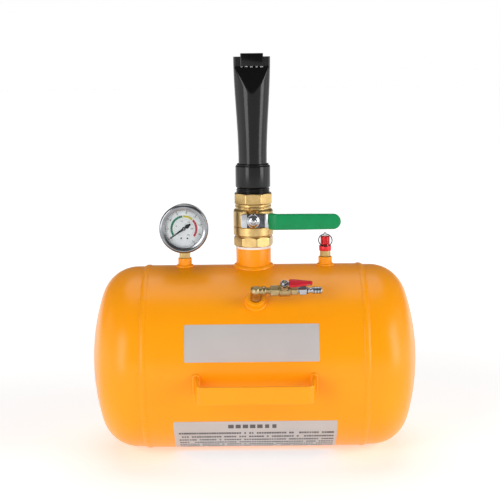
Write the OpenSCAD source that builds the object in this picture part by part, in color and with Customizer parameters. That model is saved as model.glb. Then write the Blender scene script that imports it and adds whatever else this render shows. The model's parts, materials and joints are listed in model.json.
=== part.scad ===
// Bead seater blaster tank: a steel air receiver with a carry handle, a main ball valve
// and flat blast nozzle on its neck, a pressure gauge, a ring-pull relief valve and an
// inlet ball valve with an air line plug. X runs along the tank, -Y is the front with the
// handle, +Z is up, and the origin is on the floor under the middle of the tank.

/* [Tank] */
// Outside diameter of the rolled shell
shell_od = 256; // [210:1:310]
// Plate thickness of the shell
shell_wall = 2.5; // [1.5:0.1:4]
// Length of the shell between the two girth welds
shell_length = 295; // [240:1:380]
// How far the heads sit below the shell's surface
head_step = 1.3; // [0.5:0.1:2]
// Plate thickness of the dished heads
head_wall = 2.5; // [1.5:0.1:4]
// Straight flange of a head, from the weld to the knuckle
head_flange = 15.5; // [8:0.5:30]
// Outside radius of the knuckle between flange and crown
knuckle_r = 50; // [35:1:60]
// Outside radius of the dished crown
crown_r = 295; // [240:1:400]
// Width of the girth weld beads
girth_weld_w = 8; // [5:0.5:12]
// How far the girth weld beads stand above the shell
girth_weld_h = 1; // [0.5:0.1:2]
// Width of the lengthwise seam weld at the back
seam_weld_w = 7; // [4:0.5:10]

/* [Neck and bosses] */
// Outside diameter of the neck pipe and of the nozzle's adapter
pipe_od = 48.3; // [40:0.1:58]
// Wall of the neck pipe
pipe_wall = 3.2; // [2:0.1:4]
// Height of the neck above the top of the shell
neck_stand = 29; // [20:1:50]
// Leg of the fillet weld around the neck
neck_weld_leg = 5; // [3:0.5:8]
// Height of the visible wrap of thread tape under the valve
tape_h = 3; // [1:0.5:5]
// Outside diameter of the gauge and relief valve bosses
boss_od = 19; // [17:0.5:24]
// Height of these bosses above the shell
boss_stand = 12; // [8:0.5:20]
// Distance from the tank's middle to the gauge boss
gauge_reach = 96; // [75:1:120]
// Distance from the tank's middle to the relief valve boss
relief_reach = 100; // [75:1:120]
// Leg of the fillet welds around the bosses
boss_weld_leg = 3; // [2:0.5:5]
// Outside diameter of the inlet boss
inlet_boss_od = 25; // [22:0.5:30]
// Height of the inlet boss above the shell
inlet_boss_stand = 9; // [6:0.5:14]
// Place of the inlet boss along the tank
inlet_x = 2; // [-20:1:20]
// Height of the inlet boss round the front of the shell, in degrees above level
inlet_angle = 47; // [40:1:55]

/* [Carry handle] */
// Outside length of the grip
grip_length = 153; // [120:1:180]
// Outside width over the two feet of the handle
feet_width = 160; // [125:1:190]
// Height of the grip's outer face above the shell
grip_stand = 45; // [38:1:60]
// Width of the flat bar
bar_w = 24; // [18:1:32]
// Thickness of the flat bar
bar_t = 4; // [3:0.5:6]
// Bend radius of the bar at its centre line
bar_bend = 8; // [6:0.5:14]
// Height of the handle round the front of the shell, in degrees above level
handle_angle = -4; // [-15:1:5]
// Leg of the welds at the feet
foot_weld_leg = 3; // [2:0.5:4]

/* [Labels] */
// Thickness of the label film
film_t = 0.3; // [0.2:0.1:0.5]
// Width of the upper label
name_label_w = 178; // [120:1:200]
// Centre of the upper label along the tank
name_label_x = -4; // [-10:1:10]
// Lower edge of the upper label, in degrees above level
name_label_low = 9.5; // [9:0.5:12]
// Height of the upper label round the shell, in degrees
name_label_span = 22.5; // [15:0.5:24]
// Width of the lower label
caution_label_w = 220; // [150:1:240]
// Upper edge of the lower label, in degrees below level
caution_label_top = 30; // [24:1:34]
// Height of the lower label round the shell, in degrees
caution_label_span = 45; // [30:1:48]

/* [Main ball valve] */
// Diameter of the port through the ball and the valve
port_d = 29; // [24:0.1:35]
// Wall between the pipe threads and the valve's eight-sided ends
end_wall = 2.5; // [2:0.1:4]
// Wall of the valve's round middle around the screwed-in cap
middle_wall = 2.95; // [2.5:0.05:4]
// Height of the eight-sided end of the screwed-in cap
cap_end_h = 13; // [10:0.5:18]
// Height of the groove above the cap's flats
cap_groove_h = 2; // [1:0.5:4]
// Height of the cap's round collar
cap_collar_h = 12; // [8:0.5:16]
// Height of the round middle of the body
middle_h = 24.5; // [23:0.5:30]
// Height of the neck between the middle and the upper flats
valve_neck_h = 8; // [5:0.5:12]
// Height of the upper eight-sided end
body_end_h = 14; // [12:0.5:18]
// Length of the pipe threads inside the valve
thread_depth = 12; // [10:0.5:12]
// Turn of the end cap's flats against the body's, in degrees
cap_turn = 10; // [0:1:22]

/* [Main lever] */
// Diameter of the valve stem
stem_d = 10; // [8:0.1:12]
// Distance between the valve's round middle and the lever plate
lever_clear = 12; // [12:0.5:18]
// Thickness of the lever plate
lever_t = 3; // [2:0.5:4]
// Width of the lever plate
lever_w = 19; // [16:0.5:23]
// Length of the hub's tail behind the stem
lever_tail = 17; // [15:0.5:20]
// Distance from the stem to the first bend of the lever
lever_bend_x = 20; // [18:0.5:26]
// Length of the lever between its two bends, along the lever
lever_joggle = 9; // [6:0.5:14]
// Rise of the lever between its two bends
lever_rise = 12; // [8:0.5:16]
// Distance from the stem to the tip of the sleeve
lever_reach = 118; // [95:1:140]
// Thickness of the vinyl around the plate
sleeve_wall = 1.8; // [1.2:0.1:2.5]
// Distance across the flats of the lever nut
nut_flats = 16; // [13:0.5:18]
// Height of the lever nut
nut_h = 7; // [5:0.5:9]

/* [Blast nozzle] */
// Bare length of the adapter's thread above the valve
adapter_thread_gap = 7.5; // [4:0.5:12]
// Length of the adapter above its thread
adapter_h = 31; // [24:1:45]
// Wall of the nozzle tube
tube_wall = 2; // [1.5:0.1:2.5]
// How far the tube stands inside the adapter
tube_seat = 14; // [8:1:20]
// Length of the nozzle above the adapter
nozzle_length = 148; // [120:1:200]
// Width of the flattened mouth
mouth_w = 50.5; // [46:0.5:56]
// Thickness of the flattened mouth
mouth_t = 13.5; // [12:0.5:18]
// Corner radius of the flattened mouth
mouth_r = 3; // [2.5:0.1:5]
// Distance below the mouth over which the flats grow
flat_length = 53; // [45:1:90]
// How far below the flats the tube begins to narrow
squeeze_lead = 8; // [0:1:20]
// Width of the rim hook
hook_w = 31; // [24:1:36]
// Thickness of the rim hook
hook_t = 3; // [2:0.5:5]
// Height of the hook above the mouth
hook_rise = 4.5; // [2:0.5:10]
// Length of the hook below the mouth
hook_lap = 13; // [10:0.5:16]

/* [Pressure gauge] */
// Outside diameter of the gauge bezel
bezel_od = 68; // [56:0.1:82]
// Gap between the gauge's boss and its bezel
gauge_gap = 9; // [8:0.5:20]
// Wall of the gauge case
case_wall = 1; // [0.8:0.1:1.5]
// Depth of the case behind the stem's axis
case_back = 12; // [10:0.5:16]
// Depth of the case in front of the stem's axis
case_front = 17; // [16:0.5:20]
// Distance across the flats of the gauge's square stem
socket_flats = 14.5; // [13:0.5:16]
// Direction of the pointer at zero, in degrees from the right
pointer_zero = 215; // [205:1:230]
// Teeth of the pinion on the pointer's arbor
pinion_teeth = 10; // [8:1:12]
// Teeth that the full sector wheel would have
sector_teeth = 60; // [54:1:64]

/* [Relief valve] */
// Diameter of the threads that screw into the bosses
small_thread_d = 12; // [11:0.1:13]
// Distance across the flats of the relief valve's brass hexagon
relief_flats = 13.2; // [12.5:0.1:15]
// Height of the brass hexagon
relief_hex_h = 8.2; // [6:0.2:12]
// Diameter of the cap's lower flange
cap_flange_d = 17.2; // [16:0.2:18]
// Height of the cap's lower flange
cap_flange_h = 7.5; // [5:0.5:10]
// Diameter of the cap's barrel
cap_barrel_d = 13; // [12.4:0.1:14]
// Height of the cap's barrel
cap_barrel_h = 13; // [11:0.5:18]
// Diameter of the relief valve's pull stem
pull_stem_d = 4; // [4:0.1:4.4]
// Height of the pull stem above the cap
pull_stem_rise = 5; // [5:0.1:8]
// Mean diameter of the pull ring
ring_d = 18.8; // [18.6:0.2:24]
// Wire diameter of the pull ring
ring_wire = 1.6; // [1.2:0.1:1.6]
// Lean of the hanging pull ring, in degrees from upright
ring_lean = 33; // [32:1:45]

/* [Inlet valve] */
// Height of the inlet line above the shell
line_stand = 25; // [23:0.5:32]
// Diameter of the elbow's leg
leg_d = 13.7; // [12.5:0.1:16]
// Diameter of the small pipe threads along the inlet line
line_thread_d = 9.6; // [8:0.1:11.6]
// Length of the elbow's arm
arm_length = 13.7; // [12:0.5:20]
// Bare thread between the elbow and the inlet valve
arm_thread_gap = 5.6; // [3:0.2:8]
// Length of the inlet valve's hexagon
inlet_hex_l = 9.9; // [8:0.1:14]
// Diameter of the inlet valve's round middle
inlet_mid_d = 16; // [15:0.5:18]
// Length of the inlet valve's round middle
inlet_mid_l = 16.3; // [15:0.1:20]
// Length of the screwed-in end
insert_l = 9.8; // [8:0.1:12]
// Height of the inlet lever above the line's axis
inlet_lever_stand = 15; // [14.5:0.5:20]
// Distance from the inlet valve's stem to the tip of its grip
inlet_lever_reach = 37; // [28:1:50]
// Width of the inlet lever's grip at its root
inlet_grip_w = 11.5; // [9:0.5:14]

/* [Air line plug] */
// Length of the plug's hexagon
plug_hex_l = 9; // [6:0.5:14]
// Diameter of the plug's nose
plug_nose_d = 9.1; // [8:0.1:9.4]
// Length of the plug's nose
plug_nose_l = 13; // [10:0.5:16]
// Diameter of the locking groove behind the nose
plug_groove_d = 7; // [6.4:0.1:7.5]
// Bore through the plug and the inlet line
line_bore_d = 5; // [4:0.1:5.2]

/* [Clearances] */
// Radial clearance between threads and fixed parts that fit together
seat_gap = 0.05; // [0.02:0.01:0.1]
// Radial clearance of stems and arbors that turn or slide
run_gap = 0.08; // [0.04:0.01:0.1]
// Gap between moving parts that pass each other
free_gap = 0.5; // [0.3:0.1:0.8]

/* [Hidden] */
$fn = 72;

// Tank
shell_r = shell_od / 2;
axis_z = shell_r + girth_weld_h;
head_r = shell_r - head_step;
knuckle_c = head_r - knuckle_r;
crown_turn = asin(knuckle_c / (crown_r - knuckle_r));
crown_back = (crown_r - knuckle_r) * cos(crown_turn);
pipe_r = pipe_od / 2;
pipe_thread_r = pipe_r - 1.15;
tape_r = pipe_thread_r + 1.5;
neck_bore_r = pipe_r - pipe_wall;
gauge_x = -gauge_reach;
relief_x = relief_reach;
boss_z = axis_z + shell_r + boss_stand;
small_thread_r = small_thread_d / 2;
small_thread_l = 10;
leg_r = leg_d / 2;
through = 80;

// Carry handle, along the middle of its bar
grip_x = (grip_length - bar_t) / 2;
grip_z = grip_stand - bar_t / 2;
foot_x = (feet_width - bar_t) / 2;
foot_sink = 3;
splay = atan2(foot_x - grip_x, grip_z - bar_bend + foot_sink);

// Main valve, measured up from the neck's visible top
valve_z = axis_z + shell_r + neck_stand;
cap_h = cap_end_h + cap_groove_h + cap_collar_h;
ball_h = cap_h + middle_h / 2;
valve_h = cap_h + middle_h + valve_neck_h + body_end_h;
ball_z = valve_z + ball_h;
port_r = port_d / 2;
ball_r = 1.483 * port_r;
cavity_r = ball_r + 0.7;
seat_r = ball_r - 0.5;
seat_near = ball_r * 0.51;
seat_far = ball_r * 0.79;
spigot_r = cavity_r + 2.3;
end_flats = 2 * (pipe_thread_r + end_wall);
cap_neck_r = pipe_thread_r + 1.8;
valve_r = max(spigot_r + seat_gap + middle_wall, end_flats / 2);
body_neck_r = seat_r + seat_gap + 3.75;
spigot_rise = 4;
cap_socket = 16;
body_socket = thread_depth;
stem_r = stem_d / 2;
shoulder_r = stem_r + 2;
shoulder_y = cavity_r + 0.1;
shoulder_t = 2.2;
lever_stand = valve_r + lever_clear;
tower_r = stem_r + 6;
tower_h = lever_stand - 5.5;
packing_r = stem_r + 3.5;
packing_h = 4.5;
packing_y = tower_h - 6.5;
gland_flats = 2 * (stem_r + 4.5);
gland_h = 5;
tang_w = 0.49 * stem_d;
tang_l = 1.2 * stem_d;
tang_reach = port_r + 2.8;
stem_square = 0.7 * stem_d;
stem_thread_r = 0.35 * stem_d;
stop_size = 4;
stop_near = lever_w / 2 + 0.3;
sleeve_start = lever_bend_x + 2;
sleeve_w = lever_w + 2.6;

// Nozzle, measured up from the floor
adapter_z = valve_z + valve_h + adapter_thread_gap;
adapter_top = adapter_z + adapter_h;
mouth_z = adapter_top + nozzle_length;
tube_r = pipe_r - 4.5;
taper_start = adapter_top + 7;
flat_start = mouth_z - flat_length;
squeeze_start = flat_start - squeeze_lead;
squeeze_end = mouth_z - hook_lap;
nozzle_steps = 22;
nozzle_step = (squeeze_end - taper_start) / nozzle_steps;
flat_power = 0.8;

// Gauge
bezel_r = bezel_od / 2;
case_r = bezel_r - 1.5;
window_r = bezel_r - 5.3;
gauge_rise = bezel_r + gauge_gap;
gauge_z = boss_z + gauge_rise;
layout = case_r / 32.5;
pointer_length = 24 * layout;
tooth_module = 0.5 * layout;
dial_y = case_front - 3.3;
dial_t = 0.8;
pointer_y = dial_y + 1.6;
pointer_t = 0.5;
lens_t = 1.8;
gasket_t = 1.2;
bezel_lip = 1.5;
arbor_r = 1;
front_plate_y = 11.5;
back_plate_y = 3.5;
plate_t = 1;
tube_mean_r = 24 * layout;
tube_section = [2.2, 9];
tube_y = -2;
block_w = 14;
block_top = -21 * layout;
gear_reach = tooth_module * (pinion_teeth + sector_teeth) / 2;
gear_way = -45;
sector_pivot = gear_reach * [cos(gear_way), sin(gear_way)];
dial_posts = layout * [[-4.5, -14.8], [4.5, -14.8]];
dial_screw_r = 0.6;
gear_y = 7;
gear_t = 1.5;
sector_margin = 15;
pointer_travel = 270;
sector_travel = pointer_travel * pinion_teeth / sector_teeth;

// Relief valve, measured up from its boss
cap_z = relief_hex_h;
barrel_z = cap_z + cap_flange_h;
cap_top = barrel_z + cap_barrel_h;
spigot_top = cap_z + 9.8;
chamber_r = 4.4;
small_spigot_r = chamber_r + 0.8;
disc_t = 1.6;
disc_z = 1;
vent_z = disc_z + disc_t + 2;
pull_r = pull_stem_d / 2;
spring_low = disc_z + disc_t + 1;
spring_high = cap_top - 2.2;
spring_r = 3.2;
spring_wire_r = 0.4;
spring_turns = 8;
eye_r = ring_wire / 2 + 0.4;
eye_z = cap_top + 2.6;

// Inlet line, measured along X from the inlet boss
line_thread_r = line_thread_d / 2;
line_bore_r = line_bore_d / 2;
arm_r = line_thread_r + 0.5;
inlet_flats = line_thread_d + 4.4;
insert_flats = line_thread_d + 2.4;
plug_flats = line_thread_d + 2.9;
line_socket = 7;
insert_socket = 6;
inlet_start = arm_length + arm_thread_gap;
inlet_mid = inlet_start + inlet_hex_l;
insert_start = inlet_mid + inlet_mid_l;
inlet_end = insert_start + insert_l;
inlet_ball_x = inlet_mid + inlet_mid_l / 2;
inlet_ball_r = 5.4;
inlet_cavity_r = 5.7;
inlet_seat_near = 2.6;
inlet_seat_far = 5.2;
inlet_seat_r = 4.7;
insert_spigot_r = 6.4;
inlet_tang_z = 3.7;
inlet_tang_w = 1.8;
inlet_tang_l = 3.4;
inlet_stem_r = 1.9;
inlet_shoulder_r = 2.9;
inlet_shoulder_z = 5.8;
inlet_shoulder_t = 1.2;
inlet_square = 2.6;
inlet_tower_r = 5;
inlet_tower_h = inlet_lever_stand - 3;
seal_z = inlet_tower_h - 3;
seal_h = 1.4;
seal_r = 1.4;
inlet_lever_t = 2;
inlet_hub_r = 5.2;
inlet_blade_w = 0.58 * inlet_grip_w;
inlet_grip_t = 5;
inlet_nut_flats = 6.5;
inlet_nut_h = 2.8;
plug_start = inlet_end + 2.3;
nose_start = plug_start + plug_hex_l + 8;
plug_end = nose_start + plug_nose_l;

// Points of an arc about c, from angle a to angle b in n steps
function arc(c, r, a, b, n) =
    [for (i = [0:n]) c + r * [cos(a + (b - a) * i / n), sin(a + (b - a) * i / n)]];
function unit(v) = v / norm(v);
function left_of(v) = [-v[1], v[0]];
// A path's point i moved sideways by d, with the corners mitred
function beside(path, i, d) =
    let (
        last = len(path) - 1,
        before = left_of(unit(i == 0 ? path[1] - path[0] : path[i] - path[i - 1])),
        after = left_of(unit(i == last ? path[i] - path[i - 1] : path[i + 1] - path[i]))
    )
    path[i] + d * (before + after) / (1 + before * after);
// Outline of a strip of thickness t along a path
function strip(path, t) =
    concat([for (i = [0:len(path) - 1]) beside(path, i, t / 2)],
           [for (i = [len(path) - 1:-1:0]) beside(path, i, -t / 2)]);
function ease(s) = s <= 0 ? 0 : s >= 1 ? 1 : s * s * (3 - 2 * s);

// Stands its children on the shell: local Z points straight out of the shell
module on_shell(x, angle) {
    translate([x, 0, axis_z]) rotate([90 - angle, 0, 0]) translate([0, 0, shell_r]) children();
}

// The shell's own solid cylinder, seen from a place on its surface
module shell_below(extra) {
    translate([0, 0, -shell_r]) rotate([0, 90, 0])
        cylinder(r = shell_r + extra, h = shell_length, center = true, $fn = 180);
}

// Lays a profile of [x, z] points out as a slab of width w along Y
module slab(w) {
    rotate([90, 0, 0]) linear_extrude(w, center = true) children();
}

// Turns its children from Z to X
module along_x() {
    rotate([0, 90, 0]) children();
}

module prism(flats, sides, h) {
    rotate([0, 0, 180 / sides]) cylinder(d = flats / cos(180 / sides), h = h, $fn = sides);
}

// A prism with its corners turned off at one or both ends
module turned_prism(flats, sides, h, low, high) {
    bevel = flats * 0.04;
    edge_r = flats / 2 / cos(180 / sides);
    intersection() {
        prism(flats, sides, h);
        union() {
            translate([0, 0, low ? bevel : 0])
                cylinder(r = edge_r + 0.2, h = h - (low ? bevel : 0) - (high ? bevel : 0));
            if (low) cylinder(r1 = edge_r - 1.2 * bevel, r2 = edge_r + 0.2, h = bevel);
            if (high) translate([0, 0, h - bevel])
                cylinder(r1 = edge_r + 0.2, r2 = edge_r - 1.2 * bevel, h = bevel);
        }
    }
}

// ---- Tank ----

module tank_shell() {
    color("#fe9a0a") difference() {
        translate([0, 0, axis_z]) along_x() difference() {
            cylinder(r = shell_r, h = shell_length, center = true, $fn = 180);
            cylinder(r = shell_r - shell_wall, h = shell_length + 2, center = true, $fn = 180);
        }
        on_shell(0, 90) cylinder(r = neck_bore_r, h = through, center = true);
        on_shell(gauge_x, 90) cylinder(r = small_thread_r - 1, h = through, center = true);
        on_shell(relief_x, 90) cylinder(r = small_thread_r - 1, h = through, center = true);
        on_shell(inlet_x, inlet_angle) cylinder(r = leg_r - 1, h = through, center = true);
    }
}

// A dished end: straight flange, knuckle and shallow crown, open towards -Z
module head() {
    start = shell_length / 2;
    knuckle_z = start + head_flange;
    crown_z = knuckle_z - crown_back;
    outer = concat(
        arc([knuckle_c, knuckle_z], knuckle_r, 0, 90 - crown_turn, 12),
        arc([0, crown_z], crown_r, 90 - crown_turn, 90, 8));
    inner = concat(
        arc([0, crown_z], crown_r - head_wall, 90, 90 - crown_turn, 8),
        arc([knuckle_c, knuckle_z], knuckle_r - head_wall, 90 - crown_turn, 0, 12));
    color("#fe9a0a") translate([0, 0, axis_z]) along_x() rotate_extrude($fn = 180)
        polygon(concat([[head_r, start]], outer, inner, [[head_r - head_wall, start]]));
}

module right_head() {
    head();
}

module left_head() {
    mirror([1, 0, 0]) head();
}

module girth_welds() {
    half = girth_weld_w / 2;
    bead = [for (i = [0:8]) [shell_r + girth_weld_h * sin(180 * i / 8),
                             shell_length / 2 - half + girth_weld_w * i / 8]];
    fitted = [for (p = bead) p[1] > shell_length / 2 + half - 0.01 ? [head_r, p[1]] : p];
    color("#f08c05") for (side = [0, 1]) mirror([side, 0, 0])
        translate([0, 0, axis_z]) along_x() rotate_extrude($fn = 180)
            polygon(concat(fitted, [[head_r, shell_length / 2], [shell_r, shell_length / 2]]));
}

module seam_weld() {
    length = shell_length - girth_weld_w - 2;
    across = [for (i = [0:8]) seam_weld_w * (i / 8 - 0.5)];
    drop = [for (y = across) sqrt(shell_r * shell_r - y * y) - shell_r];
    bead = concat([for (i = [0:8]) [across[i], drop[i] + sin(180 * i / 8)]],
                  [for (i = [7:-1:1]) [across[i], drop[i]]]);
    color("#f08c05") on_shell(0, 180) rotate([90, 0, 90])
        linear_extrude(length, center = true) polygon(bead);
}

// A tube that stands on the shell with its foot cut to the shell's curve
module saddle_tube(od, bore, stand) {
    difference() {
        translate([0, 0, -4]) cylinder(d = od, h = stand + 4);
        shell_below(0);
        cylinder(r = bore, h = through, center = true);
    }
}

// A fillet weld that follows the shell around a tube
module saddle_weld(od, leg) {
    difference() {
        union() for (step = [[1, 0.35], [0.75, 0.7], [0.4, 1]]) intersection() {
            cylinder(d = od + 2 * leg * step[0], h = through, center = true);
            shell_below(leg * step[1]);
        }
        shell_below(0);
        cylinder(d = od, h = through, center = true);
    }
}

module neck_pipe() {
    color("#fe9a0a") on_shell(0, 90) difference() {
        union() {
            saddle_tube(pipe_od, neck_bore_r, neck_stand - tape_h);
            cylinder(r = pipe_thread_r, h = neck_stand + cap_socket - 0.2);
        }
        cylinder(r = neck_bore_r, h = 2 * through, center = true);
    }
}

module neck_weld() {
    color("#f89305") on_shell(0, 90) saddle_weld(pipe_od, neck_weld_leg);
}

module neck_tape() {
    color("#f2f2f0") on_shell(0, 90) translate([0, 0, neck_stand - tape_h]) difference() {
        cylinder(r = tape_r, h = tape_h);
        translate([0, 0, -1]) cylinder(r = pipe_thread_r, h = tape_h + 2);
    }
}

module small_boss(x) {
    color("#fe9a0a") on_shell(x, 90)
        saddle_tube(boss_od, small_thread_r + seat_gap, boss_stand);
}

module gauge_boss() {
    small_boss(gauge_x);
}

module relief_boss() {
    small_boss(relief_x);
}

module inlet_boss() {
    color("#fe9a0a") on_shell(inlet_x, inlet_angle)
        saddle_tube(inlet_boss_od, leg_r + seat_gap, inlet_boss_stand);
}

module boss_welds() {
    color("#f89305") {
        on_shell(gauge_x, 90) saddle_weld(boss_od, boss_weld_leg);
        on_shell(relief_x, 90) saddle_weld(boss_od, boss_weld_leg);
        on_shell(inlet_x, inlet_angle) saddle_weld(inlet_boss_od, boss_weld_leg);
    }
}

// A flat bar bent into a U, with its legs splayed towards the feet
module handle_bar() {
    arc_x = grip_x - bar_bend;
    arc_z = grip_z - bar_bend;
    path = concat(
        [[-foot_x, -foot_sink]],
        arc([-arc_x, arc_z], bar_bend, 180 - splay, 90, 6),
        arc([arc_x, arc_z], bar_bend, 90, splay, 6),
        [[foot_x, -foot_sink]]);
    difference() {
        slab(bar_w) polygon(strip(path, bar_t));
        shell_below(0);
    }
}

module carry_handle() {
    color("#fe9a0a") on_shell(0, handle_angle) handle_bar();
}

module handle_welds() {
    box = [bar_t + 2 * foot_weld_leg, bar_w + 2 * foot_weld_leg, through];
    color("#f89305") on_shell(0, handle_angle) difference() {
        intersection() {
            for (side = [-1, 1]) translate([side * foot_x, 0, 0]) cube(box, center = true);
            shell_below(foot_weld_leg);
        }
        shell_below(0);
        handle_bar();
    }
}

// A film of width w laid on the front of the shell, from low upwards by span degrees
module label(x, w, low, span) {
    translate([0, 0, axis_z]) along_x() rotate([0, 0, -90 - low - span])
        rotate_extrude(angle = span, $fn = 180)
            translate([shell_r, x - w / 2]) square([film_t, w]);
}

module name_label() {
    color("#c3bebe") label(name_label_x, name_label_w, name_label_low, name_label_span);
}

module caution_label() {
    color("#b2aeac") label(0, caution_label_w, -caution_label_top - caution_label_span,
                           caution_label_span);
}

// ---- Main ball valve ----

module at_valve() {
    translate([0, 0, valve_z]) children();
}

// The stem's own frame: Z points out of the front along the stem, Y points up
module at_stem() {
    translate([0, 0, ball_z]) rotate([90, 0, 0]) children();
}

module valve_body() {
    neck_r = body_neck_r;
    flats_z = valve_h - body_end_h;
    color("#d2ac5e") difference() {
        union() {
            at_valve() {
                rotate_extrude() polygon([
                    [0, cap_h], [valve_r - 0.6, cap_h], [valve_r, cap_h + 0.6],
                    [valve_r, cap_h + middle_h - 2], [neck_r, cap_h + middle_h + 0.5],
                    [neck_r, flats_z + 1], [0, flats_z + 1]]);
                translate([0, 0, flats_z]) rotate([0, 0, 22.5])
                    turned_prism(end_flats, 8, body_end_h, true, true);
            }
            at_stem() {
                cylinder(r = tower_r, h = tower_h);
                translate([-stop_near - stop_size, stop_near, seat_r - 1])
                    cube([stop_size, stop_size, lever_stand + lever_t - seat_r + 1]);
            }
        }
        at_valve() {
            translate([0, 0, -1])
                cylinder(r = spigot_r + seat_gap, h = cap_h + spigot_rise + 1 + free_gap);
            cylinder(r = cavity_r, h = ball_h + seat_near);
            translate([0, 0, ball_h]) cylinder(r = seat_r + seat_gap, h = seat_far);
            translate([0, 0, ball_h]) cylinder(r = port_r, h = valve_h);
            translate([0, 0, valve_h - body_socket])
                cylinder(r = pipe_thread_r + seat_gap, h = through);
        }
        at_stem() {
            cylinder(r = stem_r + run_gap, h = through);
            cylinder(r = shoulder_r + 0.3, h = shoulder_y + shoulder_t + run_gap);
            translate([0, 0, packing_y]) cylinder(r = packing_r + seat_gap, h = through);
        }
    }
}

module valve_end_cap() {
    collar_z = cap_end_h + cap_groove_h;
    color("#d2ac5e") at_valve() difference() {
        union() {
            rotate([0, 0, cap_turn]) turned_prism(end_flats, 8, cap_end_h, true, true);
            cylinder(r = cap_neck_r, h = cap_h - 1);
            translate([0, 0, collar_z]) cylinder(r = valve_r, h = cap_collar_h);
            translate([0, 0, cap_h - 1]) cylinder(r = spigot_r, h = spigot_rise + 1);
        }
        translate([0, 0, -1]) cylinder(r = pipe_thread_r + seat_gap, h = cap_socket + 1);
        cylinder(r = port_r, h = through);
        translate([0, 0, ball_h - seat_far]) cylinder(r = seat_r + seat_gap, h = through);
        translate([0, 0, ball_h - seat_near]) cylinder(r = cavity_r, h = through);
    }
}

// Two rings that hold a ball on its port's axis
module seat_pair(ball, inner, outer, near, far) {
    for (side = [0, 1]) mirror([0, 0, side]) difference() {
        translate([0, 0, near]) cylinder(r = outer, h = far - near);
        cylinder(r = inner, h = through);
        sphere(r = ball + run_gap);
    }
}

module valve_seats() {
    color("#efece4") translate([0, 0, ball_z])
        seat_pair(ball_r, port_r + 0.3, seat_r, seat_near, seat_far);
}

// A ball with its port along X and a slot for the stem's tang on its Z side
module ball(r, bore, slot_z, slot_w) {
    difference() {
        sphere(r = r, $fn = 96);
        along_x() cylinder(r = bore, h = 3 * r, center = true);
        translate([-r, -slot_w / 2, slot_z]) cube([2 * r, slot_w, r]);
    }
}

module valve_ball() {
    color("#d9d9da") at_stem()
        ball(ball_r, port_r, tang_reach - run_gap, tang_w + 2 * run_gap);
}

module valve_stem() {
    color("#c9a257") at_stem() {
        translate([-tang_l / 2, -tang_w / 2, tang_reach])
            cube([tang_l, tang_w, shoulder_y - tang_reach + 0.5]);
        translate([0, 0, shoulder_y]) cylinder(r = shoulder_r, h = shoulder_t);
        translate([0, 0, shoulder_y]) cylinder(r = stem_r, h = lever_stand - shoulder_y - 0.1);
        translate([-stem_square / 2, -stem_square / 2, lever_stand - 1])
            cube([stem_square, stem_square, lever_t + 1]);
        translate([0, 0, lever_stand])
            cylinder(r = stem_thread_r, h = lever_t + nut_h + 1.2);
    }
}

module stem_packing() {
    color("#efece4") at_stem() translate([0, 0, packing_y]) difference() {
        cylinder(r = packing_r, h = packing_h);
        translate([0, 0, -1]) cylinder(r = stem_r + run_gap, h = packing_h + 2);
    }
}

module gland_nut() {
    color("#c9a257") at_stem() difference() {
        union() {
            translate([0, 0, packing_y + packing_h])
                cylinder(r = packing_r, h = tower_h - packing_y - packing_h + 1);
            translate([0, 0, tower_h]) turned_prism(gland_flats, 6, gland_h, false, true);
        }
        cylinder(r = stem_r + run_gap, h = through);
    }
}

// Outline of a bar from x0 to x1, with corner radii r0 and r1 at its two ends
module bar_outline(x0, x1, w, r0, r1) {
    polygon(concat(
        arc([x1 - r1, w / 2 - r1], r1, 0, 90, 6),
        arc([x0 + r0, w / 2 - r0], r0, 90, 180, 6),
        arc([x0 + r0, r0 - w / 2], r0, 180, 270, 6),
        arc([x1 - r1, r1 - w / 2], r1, 270, 360, 6)));
}

// The lever's cranked bar in the stem's frame, of thickness t and width w
module lever_bar(x0, x1, t, w, r0, r1) {
    z = lever_stand + lever_t / 2;
    path = [[x0, z], [lever_bend_x, z],
            [lever_bend_x + lever_joggle, z + lever_rise], [x1, z + lever_rise]];
    intersection() {
        slab(w) polygon(strip(path, t));
        linear_extrude(2 * through) bar_outline(x0, x1, w, r0, r1);
    }
}

module lever_plate() {
    color("#d4d6d8") at_stem() difference() {
        lever_bar(-lever_tail, lever_reach - 3, lever_t, lever_w, 2, 7);
        translate([0, 0, lever_stand]) cube(
            [stem_square + 2 * seat_gap, stem_square + 2 * seat_gap, 3 * lever_t], center = true);
    }
}

module lever_sleeve() {
    inner_t = lever_t + 2 * seat_gap;
    color("#14945f") at_stem() difference() {
        intersection() {
            lever_bar(-lever_tail, lever_reach, lever_t + 2 * sleeve_wall, sleeve_w, 2, 9);
            translate([sleeve_start, -sleeve_w, 0]) cube([2 * lever_reach, 2 * sleeve_w, 2 * through]);
        }
        lever_bar(-lever_tail, lever_reach - 2.9, inner_t, lever_w + 2 * seat_gap, 2, 7);
    }
}

module lever_nut() {
    color("#d9dbdd") at_stem() translate([0, 0, lever_stand + lever_t]) difference() {
        union() {
            cylinder(d = nut_flats * 1.2, h = 1.5);
            turned_prism(nut_flats, 6, nut_h, false, true);
        }
        translate([0, 0, -1]) cylinder(r = stem_thread_r + seat_gap, h = nut_h + 2);
    }
}

// ---- Blast nozzle ----

module nozzle_adapter() {
    low = valve_z + valve_h - body_socket + 0.1;
    bevel = 1.2;
    inner_r = tube_r - tube_wall;
    color("#1c1c1e") rotate_extrude() polygon([
        [inner_r, low], [pipe_thread_r, low], [pipe_thread_r, adapter_z],
        [pipe_r - bevel, adapter_z], [pipe_r, adapter_z + bevel],
        [pipe_r, adapter_top - bevel], [pipe_r - bevel, adapter_top],
        [tube_r + seat_gap, adapter_top], [tube_r + seat_gap, adapter_top - tube_seat],
        [inner_r, adapter_top - tube_seat]]);
}

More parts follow.
